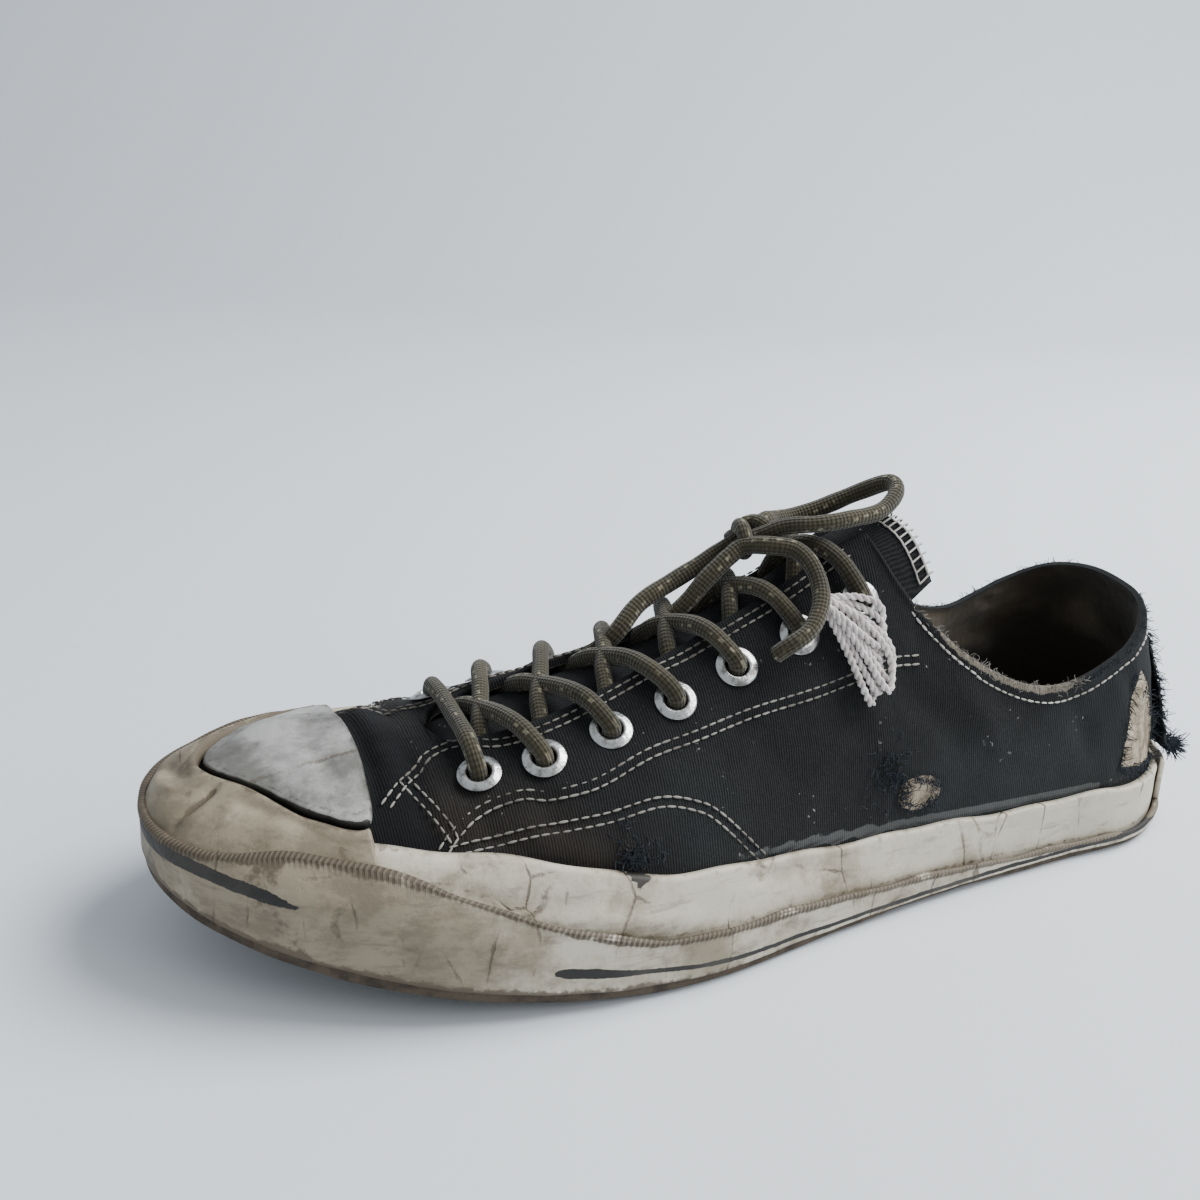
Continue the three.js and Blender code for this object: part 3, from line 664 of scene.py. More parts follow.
LACE_CORD = lace_paint("olive lace", (0.014, 0.0125, 0.0065), (0.056, 0.047, 0.026), (0.26, 0.235, 0.16))
CORE_YARN = plain_paint("pale core yarn", (0.62, 0.57, 0.55), (0.42, 0.37, 0.35), 0.9, 0.003, 0.0001, 0.4)
STITCH_THREAD = plain_paint("cream thread", (0.26, 0.245, 0.215), (0.09, 0.08, 0.068), 0.9, 0.01, 0.0001, 0.1)
WHITE_THREAD = plain_paint("white thread", (0.5, 0.48, 0.44), (0.24, 0.22, 0.19), 0.9, 0.008, 0.0001, 0.1)
DARK_THREAD = plain_paint("dark thread", (0.012, 0.02, 0.03), (0.004, 0.006, 0.008), 0.95, 0.006, 0.0001, 0.1)
EYELET_METAL = metal_paint("dull aluminium")


# ---------- canvas: panels, creases and wear ----------
# Lines on the outer side, as (x, y) over the top of the last. The inner side has the same, mirrored.
EYESTAY_LINE = [(87.8, 36.4), (85.2, 34.6), (80.1, 32), (75.4, 31.2), (68.2, 31.6), (62.4, 33.5),
                (55.5, 34.4), (49.3, 34.2), (36.8, 32), (23.3, 31.2), (9, 29.6), (-10.6, 27.6),
                (-31.7, 25.8), (-40.3, 25.7)]
THROAT_SEAM = [(97.5, 22.9), (92.2, 18.1), (86, 13), (81.2, 11.4), (76.5, 12.6), (70, 17), (61.8, 18.6),
               (51.2, 18.1), (33.9, 15.9), (18.5, 15.2), (-0.2, 13.6), (-24.6, 11)]
VAMP_SEAM = [(92.2, 18.4), (89.5, 25), (85.7, 34.9)]
# Lines on the outer side, as (x, height above the floor).
PATCH_LINE = [(86, 37.6), (77, 39), (64.1, 40.5), (50.6, 41.5), (37.1, 43.2), (27.9, 41.3), (21.7, 37.5),
              (11.3, 26.9)]
HOLE = (-41, 30.6)
HOLE_SIZE = (7.0, 4.6)


def angle_at_y(x, y):
    """The angle of a place on the top of the last."""
    x, y = np.broadcast_arrays(np.asarray(x, float), np.asarray(y, float))
    _, _, slope = section(x, 0)
    away = y - along(MIDDLE, x)
    side = np.where(away < 0, -1, 1)
    reach = away / half_width(x, side, RUBBER_INSET)
    angle = bisect(lambda a: np.cos(a) * (1 - slope * np.sin(a)) > reach, x.shape)
    return np.where(side > 0, angle, math.pi - angle)


def angle_at_z(x, z, side):
    floor, height, _ = section(np.asarray(x, float), 0)
    angle = np.arcsin(np.clip((z - floor) / height, 0, 0.999))
    return angle if side > 0 else math.pi - angle


INNER_NARROW = 0.92     # how much closer to the middle a panel's line lies on the inner side


def mirrored(line):
    """The same line on the inner side of the top."""
    return [(x, 2 * float(along(MIDDLE, x)) - y * INNER_NARROW) for x, y in line]


def last_frame(x, angle):
    """A point of the last and its outward direction."""
    step = 1e-3
    point = last_point(x, angle, 0)
    ahead = last_point(np.asarray(x) + 0.05, angle, 0) - last_point(np.asarray(x) - 0.05, angle, 0)
    near = np.where(np.asarray(angle) < math.pi / 2, np.minimum(angle, math.pi / 2 - 2 * step),
                    np.maximum(angle, math.pi / 2 + 2 * step))
    round_it = last_point(x, near + step, 0) - last_point(x, near - step, 0)
    normal = np.cross(round_it, ahead)
    normal /= np.maximum(np.linalg.norm(normal, axis=-1, keepdims=True), 1e-9)
    return point, normal


TOP_CREASES = [          # line over the top as (x, y), half width, height
    ([(99.5, -40), (98.6, -20), (98.4, 0), (98.8, 14), (101.5, 30)], 1.9, -1.7),
    ([(95, -30), (94, -12), (93.8, 2), (95, 18)], 3.4, 1.3),
    ([(90, 6), (89, 14), (90.5, 24), (91, 36)], 2.2, -0.8),
    ([(89, -8), (88, -18), (88, -34)], 2.4, -0.9),
    ([(84, 20), (79, 30), (77, 40)], 3.0, -0.7),
    ([(66, 24), (63, 36), (60, 44)], 3.4, -0.7),
    ([(70, -22), (66, -34), (60, -46)], 3.4, -1.2),
    ([(54, -22), (50, -34), (42, -42)], 3.2, -1.0),
    ([(84, -16), (78, -30), (74, -46)], 3.0, -0.9),
    ([(18, 24), (10, 32), (-2, 38)], 4.0, -0.6),
    ([(-12, 24), (-20, 30), (-26, 34)], 3.5, -0.6),
]
SIDE_CREASES = [         # line on a side as (x, z), side, half width, height
    ([(74, 43), (62, 38), (50, 35), (38, 36)], 1, 3.2, 0.7),
    ([(80, 40), (66, 34.5), (52, 31), (40, 31)], 1, 2.0, -0.7),
    ([(0, 50), (-16, 46), (-36, 44)], 1, 5.0, 0.6),
    ([(-30, 62), (-46, 50), (-60, 36)], 1, 4.5, -1.0),
    ([(-52, 60), (-62, 48), (-70, 34)], 1, 4.0, 0.8),
    ([(-92, 50), (-98, 40), (-104, 28)], 1, 3.5, -0.9),
    ([(-112, 58), (-120, 44), (-124, 30)], 1, 3.0, -0.8),
    ([(-30, 60), (-46, 50), (-62, 36)], -1, 4.5, -1.3),
    ([(-80, 50), (-96, 42), (-116, 40)], -1, 4.0, -1.4),
    ([(20, 50), (0, 44), (-20, 40)], -1, 4.5, 1.0),
    ([(60, 42), (46, 36), (30, 34)], -1, 3.4, -1.2),
]


def ridges_over(points, rows):
    """Relief of lines over the top of the last, each a plan line, a half width and a height."""
    rise = 0
    for line, width, height in rows:
        plan = np.array(line, float)
        path = np.column_stack([plan, last_height(plan[:, 0], plan[:, 1], 0)])
        rise = rise + ridge(points, path, width, height)
    return rise


def ridges_beside(points, rows, offset=0.0):
    """Relief of lines on the sides of the last, each a line, a side, a half width and a height."""
    rise = 0
    for line, side, width, height in rows:
        run = np.array(line, float)
        rise = rise + ridge(points, on_side(run[:, 0], run[:, 1], side, offset), width, height)
    return rise


def canvas_rise(points):
    """How far the worn canvas stands out from the last, in millimetres."""
    x, y, z = points[..., 0], points[..., 1], points[..., 2]
    side = np.where(y > along(MIDDLE, x), 1.0, -1.0)
    rise = 0.35 * waves(points, 34, 3) + 0.14 * waves(points, 11, 4)
    rise = rise + ridges_over(points, TOP_CREASES) + ridges_beside(points, SIDE_CREASES)
    away = np.abs(y - along(MIDDLE, x))
    eyestay = np.array(EYESTAY_LINE)[::-1]
    edge = along(eyestay, x) - along(MIDDLE, x)
    inside = step_up(edge - away, 0, 0.9) * step_up(x, -41, -39) * step_up(-x, -88, -86.5)
    patch = along(np.array(PATCH_LINE)[::-1], x)
    lower = step_up(patch - z, 0, 0.9) * step_up(x, 10, 12) * step_up(-x, -88, -86.5)
    rise = rise + 0.55 * inside + 0.35 * lower * np.where(side > 0, 1, 0.9)
    return rise


def skin(x, angle, height=0.0):
    """A point on the worn canvas, and its outward direction."""
    point, normal = last_frame(x, angle)
    rise = canvas_rise(point) + height
    return point + normal * rise[..., None], normal


def collar_height(x, y):
    part = step_up(y, -25, 25)
    return along(COLLAR_INNER, x) * (1 - part) + along(COLLAR_OUTER, x) * part


def edge_angle(x, side):
    """How far up the section the canvas goes: to the collar line or the throat, or to the top."""
    def point(a):
        return last_point(x, a if side > 0 else math.pi - a, 0)

    def below_collar(a):
        p = point(a)
        return p[..., 2] < collar_height(p[..., 0], p[..., 1])

    throat = along(THROAT_OUTER if side > 0 else THROAT_INNER, x)
    collar = bisect(below_collar, x.shape)
    open_top = bisect(lambda a: side * (point(a)[..., 1] - throat) > 0, x.shape)
    sharp = 40
    both = -np.log(np.exp(-sharp * collar) + np.exp(-sharp * open_top)) / sharp
    both = np.where(x < -60, collar, np.where(x > 10, open_top, both))
    return np.where(x >= THROAT_FRONT, math.pi / 2, both)


ROWS = 62
STATIONS = 236


def canvas_columns():
    """Stations heel to toe, close together at both ends and round the front of the throat."""
    even = -(HALF - RUBBER_INSET) * np.cos(math.pi * np.linspace(0, 1, STATIONS))
    near = np.arange(1, 12) ** 2 * 0.11
    close = np.concatenate([THROAT_FRONT - near, THROAT_FRONT + near[:5], [THROAT_FRONT]])
    kept = [x for x in even if np.abs(close - x).min() > 0.5]
    return np.sort(np.concatenate([kept, close]))


EDGE_TURN = (0.5, 1.2, 1.8)      # how far the cut edge of the canvas turns in, step by step


def canvas_grid(inset):
    """Points and directions of the canvas or its lining, columns round the shoe from the toe on the outer
    side to the toe on the inner side, rows from the sole up. Also its distances, in millimetres."""
    x = canvas_columns()
    part = np.linspace(0, 1, ROWS)[:, None]
    outer = last_frame(np.broadcast_to(x, (ROWS, len(x))), edge_angle(x, 1) * part)
    inner = last_frame(np.broadcast_to(x, (ROWS, len(x))), math.pi - edge_angle(x, -1) * part)
    point = np.concatenate([outer[0][:, ::-1], inner[0][:, 1:]], axis=1)
    normal = np.concatenate([outer[1][:, ::-1], inner[1][:, 1:]], axis=1)
    heel = len(x) - 1
    normal[:, heel] = (1, 0, 0)
    normal[:, heel] = (normal[:, heel - 1] + normal[:, heel + 1])
    normal[:, heel] /= np.linalg.norm(normal[:, heel], axis=-1, keepdims=True)
    rise = canvas_rise(point)
    rolled = np.linspace(0, 1, ROWS)[:, None]
    up = np.cumsum(np.linalg.norm(np.diff(point, axis=0, prepend=point[:1]), axis=-1), axis=0)
    left = up[-1:] - up
    open_edge = np.concatenate([x[::-1], x[1:]]) < THROAT_FRONT
    roll = np.where(open_edge, 0.5 * np.exp(-((left - 1.6) / 1.3) ** 2), 0) * step_up(rolled, 0.2, 0.5)
    worn = point + normal * (rise + roll - inset)[..., None]
    front = np.where(x >= THROAT_FRONT)[0]
    for i in front:
        mate = (heel - i, heel + i)
        middle = (worn[-1, mate[0]] + worn[-1, mate[1]]) / 2
        worn[-1, mate[0]] = middle
        worn[-1, mate[1]] = middle
    row = 14
    run = np.cumsum(np.linalg.norm(np.diff(point[row], axis=0, prepend=point[row][:1]), axis=-1))
    return {"point": worn, "normal": normal, "last": point, "up": up, "left": left, "run": run,
            "open": open_edge, "columns": point.shape[1]}


def settled_mesh(thing):
    """The mesh of an object as its modifiers leave it."""
    graph = bpy.context.evaluated_depsgraph_get()
    made = bpy.data.meshes.new_from_object(thing.evaluated_get(graph))
    thing.modifiers.clear()
    return made


def welded(name, points, faces, material, fields, corners):
    """A mesh piece whose meeting points are joined."""
    piece = mesh_piece(name, points, faces, material, fields, corners)
    made = bmesh.new()
    made.from_mesh(piece.data)
    bmesh.ops.remove_doubles(made, verts=made.verts, dist=2e-6)
    bmesh.ops.dissolve_degenerate(made, edges=made.edges, dist=1e-7)
    made.to_mesh(piece.data)
    made.free()
    return piece


def face_out(piece):
    """Turns every face of a closed mesh outward."""
    made = bmesh.new()
    made.from_mesh(piece.data)
    bmesh.ops.recalc_face_normals(made, faces=made.faces)
    made.to_mesh(piece.data)
    made.free()


EYELET_HOLE = 3.7


def clear_of_eyelets(point, faces):
    """Faces that lie outside every eyelet's hole."""
    middles = point[np.array(faces)].mean(axis=1)
    keep = np.ones(len(faces), bool)
    for x, y in EYELETS:
        seat_at = seat(x, y)[0]
        keep &= np.linalg.norm(middles - seat_at, axis=1) > EYELET_HOLE
    return keep


# Where the canvas is worn through at the back of the heel: a tall triangle of pale backing, as
# (x, z) on the outer side.
HEEL_TEAR = [(-121, 52), (-118, 44), (-116, 34), (-115.5, 24), (-126, 21.5), (-138, 20), (-137, 28),
             (-132, 37), (-127, 46)]


def inside_outline(x, z, outline, soft):
    """Signed distance in from an outline, divided by soft and kept from -1 to 1."""
    line = np.array(list(outline) + [outline[0]], float)
    flat = np.stack([x, z], -1)
    away, _ = distance_to(flat, line)
    inside = np.zeros(x.shape, bool)
    for (ax, az), (bx, bz) in zip(line[:-1], line[1:]):
        crosses = (az > z) != (bz > z)
        at = ax + (z - az) * (bx - ax) / np.where(bz == az, 1e-9, bz - az)
        inside ^= crosses & (x < at)
    return np.clip(np.where(inside, away, -away) / soft, -1, 1)


def canvas_fields(grid):
    p = grid["last"]
    x, y, z = p[..., 0], p[..., 1], p[..., 2]
    outer = step_up(y - along(MIDDLE, x), -3, 3)
    above = z - foxing_top(x)
    fade = 0.45 * step_up(-x, -20, 120) + 0.2 * waves(p, 40, 11) + 0.25 * step_up(-above, -30, -4)
    brown = 0.62 * step_up(x, 10, 60) * step_up(-above, -24, -2) * step_up(-x, -98, -86)
    brown = brown + 0.12 * waves(p, 30, 12)
    dust = 0.25 * np.exp(-((above - 1) / 2.2) ** 2) * step_up(-x, -30, 30)
    glue = np.clip(0.5 + (1.3 - np.abs(above - 1.2)) / 0.9, 0, 1) * outer
    glue = glue * step_up(-x, -40, 10) * step_up(x, -114, -100)
    dust = dust + 0.12 * np.exp(-(above / 9) ** 2)
    open_edge = grid["open"][None, :] & (x < -40)
    near_front = step_up(x, -104, -74) * outer
    hem = np.where(open_edge, np.exp(-((grid["left"] - 0.2) / 2.2) ** 2) * (0.3 + 0.7 * near_front), 0)
    hem = hem * step_up(-x, 42, 54)
    hole = 1 - np.hypot((x - HOLE[0]) / HOLE_SIZE[0], (z - HOLE[1]) / HOLE_SIZE[1])
    hole = np.clip(0.5 + hole, 0, 1) * np.where(outer > 0.5, 1, 0)
    tear = 0.5 + 0.5 * inside_outline(x, z, HEEL_TEAR, 2.5)
    worn = np.maximum(hole, np.where(outer > 0.5, tear, 0))
    # Painted shade in the trough behind the toe cap's edge (gap) and round the rubbed patch ahead of the hole
    # (shade); darker over the vamp and along the canvas's foot at the foxing top; uneven darkening from the
    # waves.
    gap = np.exp(-((x - 98.8) / 1.6) ** 2) * step_up(z, 30, 38)
    shade = np.exp(-(((x + 31) / 8) ** 2 + ((z - 37) / 7) ** 2)) * outer
    vamp = 0.75 * step_up(x, 84, 92)
    foot = np.exp(-((above - 0.3) / 1.0) ** 2)
    grime = 0.9 * gap + vamp + 0.5 * foot + 0.6 * shade + 0.15 * waves(p, 22, 14)
    return {"fade": fade, "brown": brown, "dust": dust, "hem": hem, "worn": worn, "grime": grime,
            "glue": glue}


def build_canvas():
    grid = canvas_grid(0)
    columns = grid["columns"]
    point = grid["point"].copy()
    fields = canvas_fields(grid)
    sunk = step_up(fields["worn"], 0.4, 0.7) * 0.7
    point -= grid["normal"] * sunk[..., None]
    # The cut edge turns in over the wall.
    turned = [point]
    for drop in EDGE_TURN:
        turned.append(point[-1:] - grid["normal"][-1:] * drop)
    sheet = np.concatenate(turned, axis=0)
    rows = len(sheet)
    faces, cells = grid_faces(rows, columns)
    run = np.concatenate([grid["run"], grid["run"][-1:]])
    up = np.concatenate([grid["up"]] + [grid["up"][-1:] + drop for drop in EDGE_TURN])
    up = np.concatenate([up, up[:, -1:]], axis=1)
    uv = np.stack([np.broadcast_to(run, up.shape), up], -1).reshape(-1, 2) * MM
    spread = {k: np.concatenate([v] + [v[-1:]] * len(EDGE_TURN)) for k, v in fields.items()}
    is_rim = faces[:, 0] >= (ROWS - 1) * columns
    shut = ~grid["open"][faces[:, 0] % columns]
    keep = clear_of_eyelets(sheet.reshape(-1, 3), faces) & ~(is_rim & shut)
    piece = welded("canvas_outer", sheet.reshape(-1, 3), faces[keep], QUARTER_CANVAS, spread,
                   uv[cells[keep]].reshape(-1, 2))
    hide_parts("upper")


LINING_FOLDS = [         # line on a side as (x, z), side, half width, height
    ([(-92, 50), (-112, 44), (-130, 48)], 1, 3.0, -1.6),
    ([(-96, 40), (-116, 34), (-134, 38)], 1, 2.4, 1.2),
    ([(-84, 44), (-106, 46), (-130, 56)], -1, 3.0, -1.8),
    ([(-80, 36), (-104, 36), (-132, 44)], -1, 2.6, 1.4),
    ([(-100, 60), (-112, 54), (-126, 62)], -1, 2.4, -1.2),
]


def build_lining():
    grid = canvas_grid(WALL)
    p = grid["last"]
    columns = grid["columns"]
    x, z = p[..., 0], p[..., 2]
    crease = ridges_beside(p, LINING_FOLDS) + 0.35 * waves(p, 16, 21)
    low = step_up(z, 30, 45)
    sunk = np.clip(crease * low, -1.2, 1.6) * step_up(grid["left"], 0.5, 4)
    point = grid["point"] - grid["normal"] * sunk[..., None]
    # Darker towards the heel and lower down.
    grime = 0.5 * step_up(-x, 60, 140) + 0.6 * step_up(-z, -60, -20) + 0.35 * waves(p, 20, 22)
    faces, cells = grid_faces(ROWS, columns, flip=True)
    run = np.concatenate([grid["run"], grid["run"][-1:]])
    up = np.concatenate([grid["up"], grid["up"][:, -1:]], axis=1)
    uv = np.stack([np.broadcast_to(run, up.shape), up], -1).reshape(-1, 2) * MM
    keep = clear_of_eyelets(grid["last"].reshape(-1, 3), faces)
    piece = welded("canvas_lining", point.reshape(-1, 3), faces[keep], LINING, {"grime": grime},
                   uv[cells[keep]].reshape(-1, 2))
    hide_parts("upper")


build_canvas()
build_lining()


# ---------- rubber ----------
def level_width(x, side, offset, z):
    floor, height, slope = section(x, offset)
    sine = np.clip((z - floor) / np.maximum(height, 1e-6), 0, 1)
    reach = np.cos(np.arcsin(sine)) * (1 - slope * sine)
    return half_width(x, side, RUBBER_INSET - offset) * reach


def toe_reach(offset, height):
    low, high = HALF - TOE_ROUND, HALF - RUBBER_INSET + offset
    for _ in range(30):
        x = (low + high) / 2
        floor, rise, _ = section(x, offset)
        if floor + rise > height(x):
            low = x
        else:
            high = x
    return low


def ring_row(offset, height, turn):
    """One level ring round the grown last. The height is a function of the place along the shoe."""
    heel = -(HALF - RUBBER_INSET + offset)
    x = heel + (toe_reach(offset, height) - heel) * (1 - np.cos(turn)) / 2
    side = np.where(turn < math.pi, 1, -1)
    z = height(x)
    return np.stack([x + lean(x, z), along(MIDDLE, x) + level_width(x, side, offset, z), z], -1)


AROUND = 560
TURN = np.linspace(0, 2 * math.pi, AROUND, endpoint=False)


def edge_profile(inner, outer, low, high, steps, lip):
    """Rows of a rubber strip with a rounded top edge: the outer face up, over the top, and down behind."""
    def part(t):
        return lambda x: low(x) + (high(x) - lip - low(x)) * t

    rows = [(outer, part(t), 0.0) for t in np.linspace(0, 1, steps)]
    for turn in (0.35, 0.8, 1.2, math.pi / 2):
        rise = lip * math.sin(turn)
        rows.append((outer - lip * (1 - math.cos(turn)), lambda x, r=rise: high(x) - lip + r, 1.0))
    rows.append((inner, lambda x: high(x) - 0.1, 1.0))
    rows.append((inner, lambda x: (low(x) + high(x)) / 2, 1.0))
    rows.append((inner, low, 1.0))
    return rows


def strip(name, node, profile, rise, fields, material, turns=TURN, whole=True):
    """A rubber strip round the shoe from its profile, with a relief and fields worked out from its points."""
    grid = np.array([ring_row(offset, height, turns) for offset, height, _ in profile])
    edge = np.array([row[2] for row in profile])
    if whole:
        wide = np.concatenate([grid[:, -1:], grid, grid[:, :1]], axis=1)
        normal = grid_normals(wide)[:, 1:-1]
    else:
        normal = grid_normals(grid)
    middle = np.stack([grid[..., 0] * 0.8, along(MIDDLE, grid[..., 0]), grid[..., 2]], -1)
    outward = np.sign(((grid - middle) * normal).sum(-1, keepdims=True))
    normal = normal * np.where(np.median(outward[:8]) < 0, -1, 1)
    face = np.array([1.0 if i < len(profile) - 3 else 0.0 for i in range(len(profile))])[:, None]
    point = grid + normal * (rise(grid) * face)[..., None]
    values = fields(grid, np.broadcast_to(edge[:, None], grid.shape[:2]))
    columns = len(turns)
    rows = len(profile)
    ring = np.vstack([point.reshape(-1, 3), point[:1].reshape(-1, 3)])
    faces, cells = grid_faces(rows + 1, columns, wrap=whole, flip=True)
    spread = {k: np.concatenate([v.ravel(), v[0]]) for k, v in values.items()}
    run = run_along(grid[0])
    run = np.concatenate([run, run[-1:] + 1])
    tall = np.concatenate([grid[:, :1, 2], grid[:1, :1, 2]])
    uv = np.stack(np.broadcast_arrays(run[None, :], tall), -1).reshape(-1, 2) * MM
    corners = uv[cells].reshape(-1, 2).tolist()
    faces = faces.tolist()
    if not whole:
        for column in (0, columns - 1):
            end = [row * columns + column for row in range(rows)]
            faces.append(end if column else end[::-1])
            corners += [[0.0, 0.0]] * rows
    piece = welded(name, ring, faces, material, spread, corners)
    if not whole:
        face_out(piece)
    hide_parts(node)
    return piece


def above_outsole(x):
    return outsole_top(x) + GAP


def side_of(p):
    return np.where(p[..., 1] > along(MIDDLE, p[..., 0]), 1.0, -1.0)


RUBBER_CREASES = [       # line on the outer face as (x, z), side, half width, height
    ([(147, 33), (141, 38), (132, 41)], 1, 2.0, -1.3),
    ([(144, 38), (136, 40), (124, 41), (112, 42)], 1, 1.8, 0.9),
    ([(132, 35), (120, 36), (106, 36)], 1, 1.7, -1.0),
    ([(126, 30), (112, 30), (98, 29), (84, 25)], 1, 2.6, 0.7),
    ([(92, 34), (80, 30), (66, 27), (52, 26)], 1, 2.2, -0.7),
    ([(60, 24), (44, 20), (26, 18)], 1, 2.4, 0.6),
    ([(20, 24), (4, 21), (-12, 20)], 1, 2.0, -0.5),
    ([(140, 28), (128, 24), (112, 20)], 1, 2.4, -0.7),
    ([(70, 16), (52, 12), (34, 10)], 1, 2.2, -0.5),
    ([(132, 36), (118, 36), (104, 34)], -1, 2.0, -1.1),
    ([(100, 34), (84, 30), (66, 28)], -1, 2.4, -0.8),
    ([(70, 20), (48, 16), (24, 14)], -1, 2.6, 0.7),
]


def rubber_rise(points):
    """Relief of the old rubber: slow waves, and listed creases."""
    waved = 0.3 * waves(points, 26, 31) + 0.12 * waves(points, 9, 32)
    return waved + ridges_beside(points, RUBBER_CREASES, FOXING)


def ragged_top(x):
    """The foxing's top edge wanders a little."""
    return foxing_top(x) + 0.35 * np.sin(x / 9.0) + 0.25 * np.sin(x / 4.1 + 2)


def foxing_fields(p, edge):
    x, z = p[..., 0], p[..., 2]
    below_top = foxing_top(x) - z
    above_tape = z - tape_top(x)
    crust = 0.5 * np.exp(-((above_tape - 0.3) / 0.8) ** 2) + 0.35 * np.exp(-(below_top / 0.9) ** 2)
    crust = crust + 0.25 * step_up(x, 95, 130)
    # Darker towards the toe, lighter towards the heel.
    grime = 0.3 + 0.35 * step_up(x, 60, 120) + 0.2 * waves(p, 30, 41) - 0.25 * step_up(-x, 20, 90)
    # Painted shadow of the tape's top edge: a darker band along it on the foxing.
    grime = grime + 0.25 * np.exp(-(above_tape / 3.0) ** 2)
    wedge = 3.2 - np.abs(x - 45.5) * 1.1 - below_top
    notch = np.clip(0.5 + wedge / 1.2, 0, 1) * (side_of(p) > 0) * (below_top < 4)
    return {"grime": grime, "crust": crust + 0.4 * notch, "stripe": 0.9 * notch}


# The dark pinstripe low on the foxing tape, as (x, height above the bent floor), outer side.
PINSTRIPE = [(67, 9.2), (49, 8.0), (31, 6.4), (10, 5.2), (-16, 4.4), (-44, 4.0), (-70, 4.0), (-96, 4.1),
             (-119, 4.4), (-136, 4.6)]
TOE_STRIPE = [(149.4, 12.4), (146.5, 13.4), (141, 15.0), (132, 16.2), (124, 16.6), (120.6, 16.4)]


def pinstripe_field(p):
    x, z = p[..., 0], p[..., 2] - spring(p[..., 0])
    outer = side_of(p) > 0
    rear = along(np.array(PINSTRIPE)[::-1], x)
    half = 0.62 + 0.7 * step_up(x, 44, 60) * step_up(-x, -68, -64)
    near_rear = np.clip(0.5 + (half - np.abs(z - rear)) / 1.0, 0, 1) * step_up(-x, -68, -66.5)
    front = along(np.array(TOE_STRIPE)[::-1], x)
    thick = np.where(outer, 1.2 * step_up(x, 119.5, 127) + 0.25, 0.9)
    near_front = np.clip(0.5 + (thick - np.abs(z - front)) / 1.0, 0, 1)
    near_front = near_front * np.where(outer, step_up(x, 119, 120.5), step_up(x, 100, 130))
    return np.maximum(near_rear, near_front)


def tape_fields(p, edge):
    x, z = p[..., 0], p[..., 2]
    below_top = tape_top(x) - z
    above_floor = z - above_outsole(x)
    crust = 0.8 * np.exp(-((below_top - 0.6) / 1.0) ** 2) + 0.4 * edge
    crust = crust + 0.95 * np.exp(-((above_floor + 0.4) / 1.9) ** 2) * (0.45 + 0.55 * step_up(x, 0, 80))
    crust = crust + 0.65 * step_up(x, 90, 140) * step_up(waves(p, 14, 44), -0.3, 0.9)
    grime = 0.45 + 0.75 * step_up(x, 50, 130) + 0.3 * waves(p, 26, 42) - 0.2 * step_up(-x, 20, 90)
    bead = np.exp(-((below_top - 0.5) / 0.75) ** 2) * (0.55 + 0.45 * step_up(x, -60, 10))
    bead = np.where(edge > 0.5, 0.8 * (0.5 + 0.5 * step_up(x, -60, 10)), bead)
    return {"grime": grime, "crust": crust, "stripe": pinstripe_field(p), "bead": bead}


def wavy_tape(x):
    return tape_top(x) + 0.45 * np.sin(x / 8.0 + 1) + 0.25 * np.sin(x / 3.7)


def knurled(p):
    """Relief of the tape: old waves, and a ribbed bead along its top edge."""
    near = np.exp(-((tape_top(p[..., 0]) - p[..., 2] - 0.4) / 0.9) ** 2)
    return rubber_rise(p) * 0.8 + 0.35 * near


strip("foxing_strip", "foxing",
      edge_profile(CURVED_GAP, CURVED_GAP + FOXING, above_outsole, ragged_top, 24, 0.8),
      rubber_rise, foxing_fields, FOXING_RUBBER)
strip("foxing_outer_tape", "foxing_tape",
      edge_profile(RUBBER_INSET - TAPE, RUBBER_INSET, above_outsole, wavy_tape, 26, 0.6),
      knurled, tape_fields, FOXING_RUBBER)

heel_turns = np.linspace(-0.37, 0.37, 120) + 2 * math.pi
heel_turns = np.where(heel_turns > 2 * math.pi, heel_turns - 2 * math.pi, heel_turns)


def heel_tab_top(x):
    return foxing_top(x) + 1.0


def heel_tab_low(x):
    return wavy_tape(x) + 0.5


def heel_fields(p, edge):
    x = p[..., 0]
    seam = np.exp(-((x + 130.5) / 0.8) ** 2)
    return {"grime": 0.45 + 0.3 * waves(p, 16, 45), "crust": 0.7 * seam + 0.15 * edge,
            "stripe": 0.45 * seam}


strip("heel_patch", "heel_tab",
      edge_profile(RUBBER_INSET - TAPE, RUBBER_INSET, heel_tab_low, heel_tab_top, 18, 0.7),
      lambda p: 0.6 * rubber_rise(p), heel_fields, FOXING_RUBBER, heel_turns, whole=False)


# ---------- toe cap and bumper ----------
CAP_OUTLINE = [(102, -35), (100.5, -20), (100, -4), (100.6, 13), (103, 27), (115, 20), (124, 8), (131, -2),
               (134, -11), (131, -20), (124, -29), (115, -35)]
CAP_MIDDLE = (115, -6)
CAP_REACH = 26          # from the middle of the cap to its edge, about
CAP_LIP = 1.1
BUMPER_BACK = 102.2     # where the bumper's lower edge starts on both sides
BUMPER_LIP = 1.4


